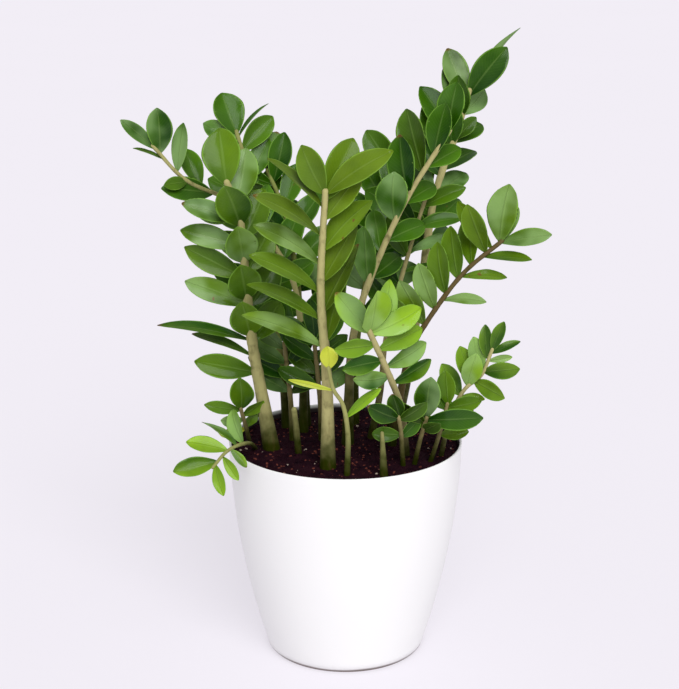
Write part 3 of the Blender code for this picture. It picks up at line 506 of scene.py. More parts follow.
FRONDS = [
    Frond("frond_front", (-0.15, -0.59),
          [(-0.001, -0.001, 0.096), (-0.007, -0.011, 0.194), (-0.002, -0.027, 0.299)],
          (0.0088, 0.0028), (0, -1, 0.3),
          [Row(LEFT, 6, (0.44, 0.94), (0.088, 0.078), (48, 40), 8, 74, 0.29),
           Row(RIGHT, 5, (0.46, 0.90), (0.078, 0.066), (22, 34), -15, 35, 0.42),
           single(LEFT, 0.99, 0.056, 30, 20, 10, 0.50),
           single(RIGHT, 0.97, 0.070, 24, -45, 0, 0.45),
           single(RIGHT, 0.99, 0.084, 42, 15, 30, 0.32)],
          "leaf_mid"),
    Frond("frond_left", (-0.65, -0.11),
          [(-0.007, -0.004, 0.047), (-0.019, -0.008, 0.125), (-0.026, -0.012, 0.218),
           (-0.030, -0.014, 0.263), (-0.042, -0.016, 0.295)],
          (0.0095, 0.0030), (0.15, -1, 0.35),
          [Row(LEFT, 4, (0.44, 0.84), (0.050, 0.050), (34, 34), 80, 0, 0.72),
           single(LEFT, 0.99, 0.062, -18, 15, 0, 0.66),
           single(LEFT, 0.30, 0.070, 64, 0, 10, 0.38),
           single(LEFT, 0.42, 0.105, 66, -10, 60, 0.16),
           single(LEFT, 0.36, 0.076, 58, -30, 60, 0.16),
           Row(LEFT, 4, (0.55, 0.86), (0.072, 0.060), (56, 60), -5, 24, 0.35),
           Row(RIGHT, 5, (0.42, 0.92), (0.052, 0.060), (46, 36), -20, 10, 0.56)],
          "leaf_mid"),
    Frond("frond_tan", (0.02, -0.01),
          [(0.001, -0.004, 0.051), (0.005, -0.009, 0.120), (0.020, -0.014, 0.179),
           (0.057, -0.024, 0.269), (0.103, -0.034, 0.348)],
          (0.0070, 0.0022), (-0.1, -1, 0.3),
          [single(LEFT, 0.70, 0.050, 30, 24, -6, 0.66),
           single(LEFT, 0.78, 0.062, 38, 6, -6, 0.50),
           single(LEFT, 0.86, 0.068, 48, -8, -6, 0.46),
           single(LEFT, 0.92, 0.054, 32, 16, -6, 0.50),
           single(LEFT, 0.99, 0.050, 18, 12, -6, 0.56),
           single(LEFT, 0.50, 0.064, 26, 12, -6, 0.48),
           Row(LEFT, 2, (0.60, 0.96), (0.050, 0.044), (38, 38), -34, 0, 0.46),
           Row(RIGHT, 4, (0.52, 0.88), (0.050, 0.044), (52, 46), -66, 10, 0.46)],
          "leaf_deep"),
    Frond("frond_right_back", (0.45, 0.54),
          [(0.014, -0.001, 0.065), (0.029, 0.003, 0.168), (0.042, 0.011, 0.260), (0.064, 0.016, 0.326),
           (0.078, 0.018, 0.375)],
          (0.0085, 0.0030), (-0.1, -1, 0.3),
          [single(RIGHT, 0.985, 0.068, 20, 28, 10, 0.46),
           single(RIGHT, 0.99, 0.092, 5, -32, 60, 0.19),
           Row(LEFT, 8, (0.58, 0.97), (0.086, 0.058), (58, 38), 2, 14, 0.46),
           Row(LEFT, 2, (0.84, 0.92), (0.048, 0.048), (20, 20), 60, 0, 0.54),
           single(RIGHT, 0.86, 0.032, 24, 0, 10, 0.46),
           Row(RIGHT, 6, (0.52, 0.93), (0.062, 0.050), (56, 44), -62, 10, 0.44)],
          "leaf_deep"),
    Frond("frond_far_left", (-0.38, 0.35),
          [(0.000, 0.007, 0.058), (-0.003, 0.012, 0.125), (-0.016, 0.012, 0.183),
           (-0.063, 0.002, 0.252), (-0.121, -0.018, 0.286), (-0.155, -0.033, 0.326)],
          (0.0058, 0.0018), (0.1, -1, 0.4),
          [single(LEFT, 0.99, 0.048, 6, 0, 15, 0.30),
           single(RIGHT, 0.97, 0.050, 42, 5, 5, 0.56),
           single(RIGHT, 0.90, 0.050, 56, 5, 40, 0.36),
           single(LEFT, 0.95, 0.036, 22, 0, 50, 0.26),
           Row(LEFT, 2, (0.78, 0.86), (0.056, 0.030), (12, 20), 12, 10, 0.46),
           Row(RIGHT, 4, (0.50, 0.82), (0.056, 0.046), (52, 52), -20, 10, 0.46),
           Row(LEFT, 3, (0.44, 0.68), (0.058, 0.052), (52, 46), 5, 15, 0.44)],
          "leaf_deep"),
    Frond("frond_left_back", (-0.53, 0.49),
          [(-0.004, 0.002, 0.055), (-0.016, 0.014, 0.144), (-0.044, 0.044, 0.285),
           (-0.055, 0.054, 0.326)],
          (0.0062, 0.0022), (0.1, -1, 0.3),
          [single(LEFT, 0.99, 0.050, 2, 5, 5, 0.70),
           single(RIGHT, 0.98, 0.050, 42, 0, 65, 0.26),
           Row(LEFT, 6, (0.48, 0.95), (0.062, 0.050), (62, 42), 5, 15, 0.46),
           Row(RIGHT, 6, (0.46, 0.93), (0.062, 0.052), (60, 42), 5, 15, 0.46)],
          "leaf_deep"),
    Frond("frond_middle_back", (-0.36, 0.53),
          [(-0.002, 0.003, 0.076), (-0.009, 0.013, 0.165), (-0.022, 0.027, 0.236),
           (-0.042, 0.040, 0.284)],
          (0.0060, 0.0020), (0.1, -1, 0.3),
          [single(RIGHT, 0.99, 0.050, 12, 0, 10, 0.58),
           Row(LEFT, 6, (0.44, 0.94), (0.062, 0.054), (60, 45), 5, 10, 0.46),
           Row(RIGHT, 6, (0.42, 0.95), (0.064, 0.056), (58, 36), 5, 10, 0.46)],
          "leaf_deep"),
    Frond("frond_centre_back", (0.08, 0.58),
          [(0.002, 0.008, 0.084), (0.014, 0.018, 0.163), (0.032, 0.028, 0.235), (0.050, 0.033, 0.296)],
          (0.0062, 0.0022), (0.0, -1, 0.3),
          [Row(LEFT, 6, (0.40, 0.94), (0.068, 0.058), (60, 42), 5, 10, 0.48),
           Row(RIGHT, 6, (0.42, 0.95), (0.068, 0.058), (60, 42), 5, 10, 0.48),
           single(RIGHT, 0.99, 0.056, 5, 0, 10, 0.50)],
          "leaf_deep"),
    Frond("frond_right_thin", (0.23, 0.16),
          [(0.010, 0.000, 0.054), (0.017, -0.002, 0.123), (0.044, -0.010, 0.230),
           (0.060, -0.015, 0.284)],
          (0.0045, 0.0018), (0.1, -1, 0.4),
          [Row(RIGHT, 2, (0.66, 0.74), (0.046, 0.056), (52, 48), 0, 72, 0.30),
           Row(RIGHT, 2, (0.84, 0.92), (0.048, 0.050), (44, 38), 5, 38, 0.36),
           single(RIGHT, 0.86, 0.056, 110, 30, 60, 0.26),
           Row(LEFT, 5, (0.50, 0.95), (0.050, 0.046), (50, 40), 5, -15, 0.44),
           single(RIGHT, 0.99, 0.044, 8, 0, 30, 0.40)],
          "leaf_deep"),
    Frond("frond_right", (0.41, -0.04),
          [(0.008, -0.005, 0.054), (0.019, -0.010, 0.110), (0.044, -0.015, 0.157),
           (0.074, -0.020, 0.199), (0.111, -0.030, 0.234)],
          (0.0048, 0.0020), (0.0, -1, 0.3),
          [single(RIGHT, 0.99, 0.054, 26, 10, 35, 0.34),
           single(LEFT, 0.99, 0.064, 46, 5, 0, 0.54),
           single(LEFT, 0.95, 0.060, 86, 15, -15, 0.34),
           single(RIGHT, 0.985, 0.046, -28, 20, -5, 0.46),
           Row(LEFT, 7, (0.46, 0.92), (0.052, 0.060), (52, 60), 8, -14, 0.44),
           Row(RIGHT, 3, (0.66, 0.90), (0.046, 0.054), (48, 40), 0, 52, 0.28)],
          "leaf_mid"),
    Frond("frond_centre_young", (0.52, -0.27),
          [(-0.003, -0.017, 0.033), (-0.007, -0.032, 0.066), (-0.022, -0.052, 0.110),
           (-0.041, -0.067, 0.156)],
          (0.0050, 0.0025), (0.1, -1, 0.6),
          [single(RIGHT, 0.99, 0.048, 30, 45, 0, 0.82),
           single(LEFT, 0.99, 0.056, 8, 10, 10, 0.44),
           single(RIGHT, 0.98, 0.060, 92, 10, 0, 0.42),
           single(RIGHT, 0.95, 0.060, 66, -18, 0, 0.42),
           Row(LEFT, 3, (0.66, 0.90), (0.044, 0.044), (64, 54), 10, 10, 0.44),
           Row(RIGHT, 3, (0.60, 0.86), (0.050, 0.054), (92, 96), 5, 5, 0.42)],
          "leaf_young"),
    Frond("frond_right_young", (0.83, -0.27),
          [(0.004, -0.017, 0.034), (0.012, -0.025, 0.065), (0.023, -0.032, 0.087),
           (0.038, -0.037, 0.102), (0.048, -0.042, 0.131)],
          (0.0030, 0.0014), (0.0, -1, 0.4),
          [single(RIGHT, 0.99, 0.033, -4, 14, 5, 0.38),
           single(LEFT, 0.92, 0.036, 30, -8, 5, 0.36),
           single(RIGHT, 0.97, 0.032, 40, 0, 30, 0.28),
           single(RIGHT, 0.91, 0.026, 54, 0, 30, 0.28),
           single(LEFT, 0.66, 0.040, 24, 50, 10, 0.50),
           single(RIGHT, 0.82, 0.040, 40, 14, 15, 0.46),
           single(RIGHT, 0.72, 0.040, 66, 26, 15, 0.46),
           Row(LEFT, 4, (0.44, 0.82), (0.040, 0.038), (64, 46), 8, 22, 0.48),
           Row(RIGHT, 2, (0.34, 0.56), (0.028, 0.024), (66, 50), 5, 50, 0.34)],
          "leaf_young"),
    Frond("frond_hanging", (-0.79, -0.10),
          [(-0.004, -0.028, 0.016), (-0.013, -0.063, 0.027), (-0.026, -0.083, 0.026),
           (-0.039, -0.100, 0.015)],
          (0.0026, 0.0012), (0.1, -0.8, 0.8),
          [Row(RIGHT, 3, (0.62, 0.92), (0.047, 0.046), (92, 32), 0, 8, 0.42),
           Row(LEFT, 3, (0.74, 0.96), (0.026, 0.036), (90, 44), 0, 30, 0.34),
           single(RIGHT, 0.99, 0.048, 2, 0, 8, 0.44),
           single(RIGHT, 0.50, 0.040, 100, 24, 100, 0.46)],
          "leaf_young"),
    Frond("frond_left_small", (-0.85, 0.05),
          [(-0.002, -0.016, 0.021), (-0.007, -0.036, 0.052)],
          (0.0026, 0.0014), (0.1, -1, 0.4),
          [single(RIGHT, 0.99, 0.042, 14, 5, 0, 0.62),
           single(LEFT, 0.96, 0.042, 58, 0, 30, 0.32),
           Row(LEFT, 2, (0.45, 0.70), (0.030, 0.028), (70, 60), 10, 10, 0.50),
           Row(RIGHT, 2, (0.50, 0.80), (0.026, 0.028), (50, 44), 10, 10, 0.55)],
          "leaf_mid"),
    Frond("frond_front_thin", (0.01, -0.76),
          [(0.001, -0.001, 0.044), (-0.004, -0.004, 0.077), (-0.014, -0.006, 0.095),
           (-0.019, -0.006, 0.118)],
          (0.0034, 0.0014), (0.0, -1, 0.4),
          [single(RIGHT, 0.99, 0.024, 10, 5, 0, 0.78),
           single(LEFT, 0.80, 0.048, 56, 0, 30, 0.11),
           single(RIGHT, 0.52, 0.048, 52, 0, 40, 0.22)],
          "leaf_young"),
    Frond("frond_low_left", (-0.47, 0.10),
          [(-0.002, 0.000, 0.048), (-0.008, -0.006, 0.113)],
          (0.0036, 0.0016), (0.1, -1, 0.3),
          [Row(LEFT, 4, (0.50, 0.94), (0.048, 0.044), (58, 46), 0, 15, 0.38),
           Row(RIGHT, 4, (0.48, 0.92), (0.048, 0.044), (58, 46), 0, 15, 0.38),
           single(RIGHT, 0.99, 0.044, 5, 0, 10, 0.42)],
          "leaf_deep"),
    Frond("frond_low_middle", (-0.21, 0.08),
          [(-0.002, -0.004, 0.052), (-0.008, -0.010, 0.119)],
          (0.0036, 0.0016), (-0.1, -1, 0.3),
          [Row(LEFT, 4, (0.52, 0.94), (0.050, 0.044), (56, 44), 0, 15, 0.38),
           Row(RIGHT, 4, (0.50, 0.92), (0.048, 0.044), (56, 44), 0, 15, 0.38),
           single(RIGHT, 0.99, 0.046, 5, 0, 10, 0.42)],
          "leaf_deep"),
    Frond("frond_low_right_front", (0.49, -0.53),
          [(-0.003, -0.013, 0.041), (-0.006, -0.021, 0.061)],
          (0.0028, 0.0014), (0.0, -1, 0.4),
          [single(RIGHT, 0.99, 0.030, -6, -30, 5, 0.56),
           single(LEFT, 0.96, 0.042, 46, 5, 14, 0.46),
           single(RIGHT, 0.93, 0.038, 58, 8, 14, 0.50),
           single(LEFT, 0.62, 0.030, 74, 5, 10, 0.52),
           single(RIGHT, 0.58, 0.028, 64, 5, 10, 0.52)],
          "leaf_deep"),
    Frond("frond_low_right", (0.59, -0.49),
          [(0.005, -0.011, 0.031), (0.011, -0.019, 0.058)],
          (0.0028, 0.0014), (0.0, -1, 0.4),
          [single(LEFT, 0.99, 0.048, 12, 5, 5, 0.58),
           single(RIGHT, 0.95, 0.060, 64, 12, 20, 0.38),
           single(LEFT, 0.88, 0.044, 56, 12, 10, 0.44),
           single(RIGHT, 0.74, 0.030, 40, 55, 10, 0.50)],
          "leaf_deep"),
    Frond("frond_low_far_right", (0.73, -0.42),
          [(0.008, -0.010, 0.033), (0.016, -0.014, 0.069)],
          (0.0026, 0.0013), (0.0, -1, 0.4),
          [single(RIGHT, 0.99, 0.036, 0, 5, 10, 0.52),
           Row(LEFT, 2, (0.58, 0.90), (0.038, 0.036), (66, 46), 5, 20, 0.46),
           Row(RIGHT, 3, (0.50, 0.94), (0.032, 0.038), (70, 42), 5, 20, 0.44)],
          "leaf_mid"),
    Frond("shoot_bud", (0.32, -0.76),
          [(-0.001, 0.002, 0.024), (-0.002, 0.004, 0.045)],
          (0.0046, 0.0006), (0, -1, 0.3), [], "leaf_mid"),
    Frond("shoot_stub", (-0.41, -0.24),
          [(-0.002, -0.006, 0.030), (-0.004, -0.012, 0.053)],
          (0.0038, 0.0020), (0, -1, 0.3), [], "leaf_deep"),
]


class Stalk:
    """A smooth curve through a frond's points, made of rings at even spacing."""

    def __init__(self, frond):
        x, y = (share * soil_side(SOIL_EDGE) for share in frond.foot)
        foot = Vector((x, y, soil_height(math.hypot(x, y))))
        self.points = [foot, *(foot + Vector(point) for point in frond.path)]
        self.foot_radius, self.tip_radius = frond.radius
        samples = 24 * (len(self.points) - 1)
        trace = [self.on_curve(k / samples) for k in range(samples + 1)]
        reach = [0.0]
        for a, b in zip(trace, trace[1:]):
            reach.append(reach[-1] + (b - a).length)
        self.length = reach[-1]
        self.spans = max(3, math.ceil(self.length / RING_SPACING))
        self.trace, self.reach = trace, reach
        self.centres = [self.smooth_at(k / self.spans) for k in range(self.spans + 1)]

    def smooth_at(self, share):
        """The point a share of the length up the stalk, on the curve itself."""
        wanted = self.length * share
        i = min(sum(run < wanted for run in self.reach[1:]), len(self.trace) - 2)
        part = (wanted - self.reach[i]) / (self.reach[i + 1] - self.reach[i])
        return self.trace[i].lerp(self.trace[i + 1], part)

    def on_curve(self, share):
        """Catmull-Rom through the points; share counts the spans from 0 to 1."""
        spans = len(self.points) - 1
        k = min(int(share * spans), spans - 1)
        t = share * spans - k
        b, c = self.points[k], self.points[k + 1]
        a = self.points[k - 1] if k else 2 * b - c
        d = self.points[k + 2] if k + 2 <= spans else 2 * c - b
        return 0.5 * (2 * b + (c - a) * t + (2 * a - 5 * b + 4 * c - d) * t * t
                      + (3 * b - a - 3 * c + d) * t ** 3)

    def at(self, share):
        """The point a share of the length up the stalk, on the line between two rings' centres."""
        k = min(int(share * self.spans), self.spans - 1)
        return self.centres[k].lerp(self.centres[k + 1], share * self.spans - k)

    def tangent(self, share):
        step = 0.5 / self.spans
        return (self.at(min(share + step, 1)) - self.at(max(share - step, 0))).normalized()

    def radius(self, share):
        """A slim taper, and a swelling at the foot."""
        swelling = self.foot_radius * FOOT_SWELLING
        slim = self.foot_radius - swelling
        swelling *= math.exp(-share * self.length / SWELLING_HEIGHT)
        return slim + (self.tip_radius - slim) * share + swelling

    def rings(self):
        """(centre, direction, radius) of each ring, from the buried foot to the tip."""
        up = self.tangent(0)
        found = [(self.points[0] - up * ROOT_DEPTH, up, self.foot_radius)]
        for k, centre in enumerate(self.centres):
            found.append((centre, self.tangent(k / self.spans), self.radius(k / self.spans)))
        return found


def add_tube(bm, rings):
    """A closed tube through rings, its sides kept from twisting."""
    side = rings[0][1].orthogonal().normalized()
    loops = []
    before = rings[0][1]
    for centre, direction, radius in rings:
        side = before.rotation_difference(direction) @ side
        before = direction
        spins = [Quaternion(direction, 2 * math.pi * k / STALK_SIDES) for k in range(STALK_SIDES)]
        loops.append([bm.verts.new(centre + (spin @ side) * radius) for spin in spins])
    for low, high in zip(loops, loops[1:]):
        for k in range(STALK_SIDES):
            n = (k + 1) % STALK_SIDES
            bm.faces.new((low[k], low[n], high[n], high[k]))
    bm.faces.new(loops[0][::-1])
    bm.faces.new(loops[-1])


BLADE_STATIONS = (0.12, 0.35, 0.65, 0.88)


def blade_points(leaf, thickness, margin, start):
    """Base, tip, and for each station the left margin, upper and lower midrib and right margin."""
    across = leaf.along.cross(leaf.facing)

    def spine(t):
        run, bend = leaf.length * t, leaf.droop * t
        return (leaf.base + leaf.along * run * (1 - bend * bend / 6) - leaf.facing * run * bend / 2,
                (leaf.facing + leaf.along * bend).normalized())

    rows = []
    for t in BLADE_STATIONS:
        if t < start:
            continue
        centre, normal = spine(t)
        half = leaf.width / 2 * math.sin(math.pi * t) ** BLADE_FULLNESS + margin
        rise = normal * half * BLADE_CUP
        rows.append((centre - across * half + rise, centre + normal * thickness / 2,
                     centre - normal * thickness / 2, centre + across * half + rise))
    return spine(start)[0], spine(1.0)[0] + leaf.along * margin, rows


def add_blade(bm, leaf, thickness=BLADE_THICKNESS, margin=0.0, start=0.0):
    """A leaflet: one closed blade, thick at the midrib and sharp at its margins, tip and base."""
    base, tip, rows = blade_points(leaf, thickness, margin, start)
    base, tip = bm.verts.new(base), bm.verts.new(tip)
    rows = [[bm.verts.new(p) for p in row] for row in rows]
    loop = (0, 1, 3, 2)  # round the section: left margin, upper midrib, right margin, lower midrib
    for a, b in zip(loop, loop[1:] + loop[:1]):
        bm.faces.new((base, rows[0][b], rows[0][a]))
        bm.faces.new((tip, rows[-1][a], rows[-1][b]))
        for low, high in zip(rows, rows[1:]):
            bm.faces.new((low[a], low[b], high[b], high[a]))


def plain_tree(build, *values, **options):
    """A search tree of what a function builds."""
    bm = bmesh.new()
    build(bm, *values, **options)
    tree = BVHTree.FromBMesh(bm)
    bm.free()
    return tree


def is_clear(leaf, others, siblings):
    """Whether a leaflet keeps its clearance to other fronds, and to its siblings away from the stalk."""
    thickness = BLADE_THICKNESS + 2 * LEAF_CLEARANCE
    whole = plain_tree(add_blade, leaf, thickness, LEAF_CLEARANCE)
    if any(whole.overlap(other) for other in others):
        return False
    outer = plain_tree(add_blade, leaf, thickness, LEAF_CLEARANCE, start=LEAF_FREE_FROM)
    return not any(outer.overlap(other) for other in siblings)


# What a leaflet may do to lie clear, the least first: turns of (spread, lift, roll) in degrees, then
# a shorter blade.
NUDGES = sorted(product((0, 9, -9, 18, -18), (0, 12, -12, 24, -24, 38), (0, 18, -18)),
                key=lambda turns: sum(abs(turn) for turn in turns))
SHRINKS = (1.0, 0.85, 0.7, 0.55)


def aimed(stalk, frond, row, place, length, angles):
    """The leaflet of a row at a place on the stalk, with its (spread, lift, roll) in degrees."""
    up = stalk.tangent(place)
    face = Vector(frond.face)
    face = (face - up * face.dot(up)).normalized()
    out = up.cross(face) * row.side
    spread, lift, roll = (math.radians(angle) for angle in angles)
    along = up * math.cos(spread) + (out * math.cos(lift) + face * math.sin(lift)) * math.sin(spread)
    along.normalize()
    facing = (face - along * face.dot(along)).normalized()
    facing = Quaternion(along, -row.side * roll) @ facing
    base = stalk.at(place) + out * stalk.radius(place) * LEAF_INSET
    return Leaflet(base, along, facing, length, length * row.width, BLADE_DROOP)


def first_clear(aim, length, angles, others, siblings):
    """The first leaflet, of the lengths and turns tried, that lies clear of everything."""
    for shrink in SHRINKS:
        for nudge in NUDGES:
            leaf = aim(length * shrink, [angle + turn for angle, turn in zip(angles, nudge)])
            if is_clear(leaf, others, siblings):
                return leaf
    return None


def ramp(ends, share):
    return ends[0] + (ends[1] - ends[0]) * share


def place_leaflets(frond, stalk, others, seed):
    """The frond's leaflets, and their search trees."""
    chance = random.Random(seed)
    placed, siblings = [], []
    for row in frond.rows:
        for k in range(row.count):
            share = k / (row.count - 1) if row.count > 1 else 0
            length = ramp(row.length, share) * (1 + chance.uniform(-LENGTH_JITTER, LENGTH_JITTER))
            angles = [angle + chance.uniform(-jitter, jitter) for angle, jitter
                      in zip((ramp(row.spread, share), row.lift, row.roll), ANGLE_JITTERS)]
            aim = partial(aimed, stalk, frond, row, ramp(row.span, share))
            leaf = first_clear(aim, length, angles, others, siblings)
            if leaf:
                placed.append(leaf)
                siblings.append(plain_tree(add_blade, leaf))
    return placed, siblings


# A stalk's skin is green at the swollen foot and turns beige or brown further up. A leaflet's skin is
# waxy: dark or light green, paler underneath, with a light midrib, faint veins and a thin light margin.

STALK_RINGS = 0.004  # spacing of the finished stalk's rings
STALK_JOINT = 0.10  # how much a stalk thickens where a leaflet grows, as a share of its radius
JOINT_REACH = 0.004  # along the stalk
FINE_THICKNESS = BLADE_THICKNESS * 0.7  # the finished blade's, at its midrib
FINE_CUP = BLADE_CUP * 1.4
FINE_FULLNESS = 0.66
WIDEST = 1.20  # over 1 puts a blade's widest place past its middle
DROOP_STRAY = (-0.15, 0.12)  # how far a leaflet strays from BLADE_DROOP
TWIST = 0.50  # how far a blade may turn about its midrib, from base to tip, in radians
SWEEP = 0.11  # how far a blade's tip may swing sideways, as a share of its length
LEAF_FINISHES = {
    "leaf_deep": ((0.004, 0.038, 0.0001), (0.058, 0.166, 0.002)),
    "leaf_mid": ((0.012, 0.062, 0.0002), (0.112, 0.222, 0.005)),
    "leaf_young": ((0.012, 0.065, 0.0002), (0.250, 0.450, 0.018)),
}
LEAF_UNDER = (0.150, 0.250, 0.050)
LEAF_UNDER_DARK = (0.060, 0.125, 0.015)
LEAF_RIB = (0.300, 0.460, 0.120)
LEAF_MARGIN = (0.230, 0.450, 0.060)
# painted reflection: the pale colour that a leaflet's painted sheen mixes toward
LEAF_SHEEN_PAINT = (0.330, 0.520, 0.200)
LEAF_YELLOW = (0.560, 0.600, 0.060)
LEAF_BROWN = (0.160, 0.070, 0.020)
STALK_FOOT = (0.022, 0.031, 0.0005)
STALK_GREEN = (0.140, 0.190, 0.030)
STALK_BEIGE = (0.500, 0.450, 0.200)
STALK_BROWN = (0.088, 0.054, 0.018)
# the low fronds' stalks lean to the dark brown and the back fronds' to the dark green: partly their own
# colour, partly painted shade low and deep in the plant
STALK_HUES = {  # 0 green, 0.5 beige, 1 brown
    "frond_front": 0.45, "frond_left": 0.40, "frond_tan": 0.55, "frond_right_back": 0.45,
    "frond_right_thin": 0.65, "frond_right": 0.95, "frond_centre_young": 0.60, "frond_right_young": 0.45,
    "frond_hanging": 0.20, "frond_front_thin": 0.25, "frond_far_left": 0.35, "frond_left_small": 0.80,
    "frond_low_left": 0.80, "frond_low_middle": 0.85, "frond_low_right_front": 0.75,
    "frond_low_right": 0.80, "frond_low_far_right": 0.75, "frond_middle_back": 0.10,
    "frond_centre_back": 0.10, "frond_left_back": 0.20,
}
STALK_HUE = 0.30  # of the fronds not named above
GREEN_FOOT = 0.07  # how far up a stalk its dark green foot reaches, but for the fronds named here, where it reaches higher, partly as painted shade among the stalks
GREEN_FEET_IN_SHADE = {
    "frond_tan": 0.20, "frond_right_back": 0.18, "frond_middle_back": 0.18, "frond_centre_back": 0.18,
    "frond_left_back": 0.16, "frond_far_left": 0.14, "frond_right_thin": 0.12,
}
LEAF_LIGHT = {  # how much lighter a frond's leaflets are than others of their finish
    "frond_hanging": 0.10, "frond_centre_young": 0.45, "frond_right_young": -0.25, "frond_front": 0.1,
    "frond_right": 0.18, "frond_low_right": -0.3, "frond_low_right_front": -0.25,
    "frond_low_middle": -0.2, "frond_low_left": -0.2,
}
LEAF_FALL = {"frond_centre_young": 2.8, "frond_right_young": -0.8}  # how much darker, down to the soil
AGED = {  # how yellow a frond is, or one of its leaflets, counted as they grow
    "frond_front": 0.06, "frond_right": 0.02, ("frond_front_thin", 0): 1.0, ("frond_front_thin", 1): 0.8,
    ("frond_left_small", 2): 0.8,
}
AGE_STRAY = 0.05
PALE = {  # leaflets with a painted pale sheen, a reflection painted into their colour, besides those that chance gives one; on frond_centre_young it also gives the top leaflets their own pale young green
    "frond_centre_young": (0, 1, 2, 3), "frond_right": (1,), "frond_right_back": (1, 8, 9),
    "frond_far_left": (0, 1, 2),
}
PALE_CHANCE = 0.22
# how much painted sheen a leaflet is given, and the least
SHEEN, LEAST_SHEEN = 0.48, 0.04


def leaf_skin(name, deep, pale):
    finish = Finish(name, Coat_Weight=0.16, Coat_Roughness=0.16, Specular_IOR_Level=0.05)
    blade = finish.attribute("blade", 1)
    across, along = abs(blade.part(0)), blade.part(2)
    upper = blade.part(1).rise(-0.15, 0.15)
    tone, age = finish.attribute("tone", 2), finish.attribute("age", 2)
    mottle = finish.place.noise(45.0, 3.0)
    fine = finish.place.noise(420.0, 2.0)
    rib = 1 - (across * (along * 0.6 + 0.7)).rise(0.02, 0.11)
    wave = abs(upper.sum("SINE", (along * 15.0 - across * 4.0) * math.pi))
    vein = (1 - wave.rise(0.0, 0.35)) * (1 - across.rise(0.75, 0.95))
    margin = across.rise(0.86, 0.96)
    light = finish.attribute("light", 2)
    # painted light and shade: one half of each folded blade is lighter than the other, as light would fall
    # on it
    painted_half_light = blade.part(0) * (tone - 0.5) * 0.7
    green = (tone * 0.6 + mottle * 0.55 + along * 0.30 + painted_half_light + light - 0.28).mix(deep, pale)
    # painted sheen: soft-edged pale patches stand for the reflection of the sky on the waxy blade
    sheen = finish.attribute("sheen", 2) * finish.place.noise(24.0, 2.0).rise(0.36, 0.62)
    green = sheen.mix(green, LEAF_SHEEN_PAINT)
    green = (vein * 0.05).mix(green, LEAF_RIB)
    colour = upper.mix((tone * 0.6 + mottle * 0.6 - 0.1).mix(LEAF_UNDER_DARK, LEAF_UNDER), green)
    colour = (rib * (0.38 - upper * 0.24)).mix(colour, LEAF_RIB)
    colour = (margin * 0.55).mix(colour, LEAF_MARGIN)
    colour = (age * (0.65 + mottle * 0.5)).mix(colour, LEAF_YELLOW)
    spot = finish.place.noise(95.0, 2.0).rise(0.70, 0.74) * tone.rise(0.80, 0.90)
    dry_tip = along.rise(0.93, 0.99) * (1 - tone.rise(0.06, 0.10))
    colour = (spot * 0.8 + dry_tip * 0.8).mix(colour, LEAF_BROWN)
    rough = 0.22 + mottle * 0.14 + (1 - upper) * 0.20
    return finish.connect(colour, rough, (1 - rib) * 0.7 - vein * 0.05 + fine * 0.05, 0.0006)


def stalk_skin():
    finish = Finish("stalk_skin", Specular_IOR_Level=0.05)
    hue, climb = finish.attribute("hue", 2), finish.attribute("climb", 2)
    stretched = finish.start.node("ShaderNodeMapping", {}, {"Vector": finish.place, "Scale": (1, 1, 0.25)})
    streak = stretched.noise(330.0, 3.0)
    blot = finish.place.noise(75.0, 3.0)
    aged = hue.node("ShaderNodeValToRGB", {"stops": ((0.0, STALK_GREEN), (0.5, STALK_BEIGE),
                                                     (1.0, STALK_BROWN))}, {0: hue})
    colour = (climb + blot * 0.05 - 0.025).rise(0.0, GREEN_FOOT).mix(STALK_FOOT, aged)
    colour = (blot.rise(0.55, 0.75) * 0.55).mix(colour, STALK_FOOT)
    colour = (streak.rise(0.45, 0.80) * 0.35).mix(colour, STALK_BROWN)
    return finish.connect(colour, 0.42 + streak * 0.18, streak * 0.6 + blot * 0.4, 0.0005)


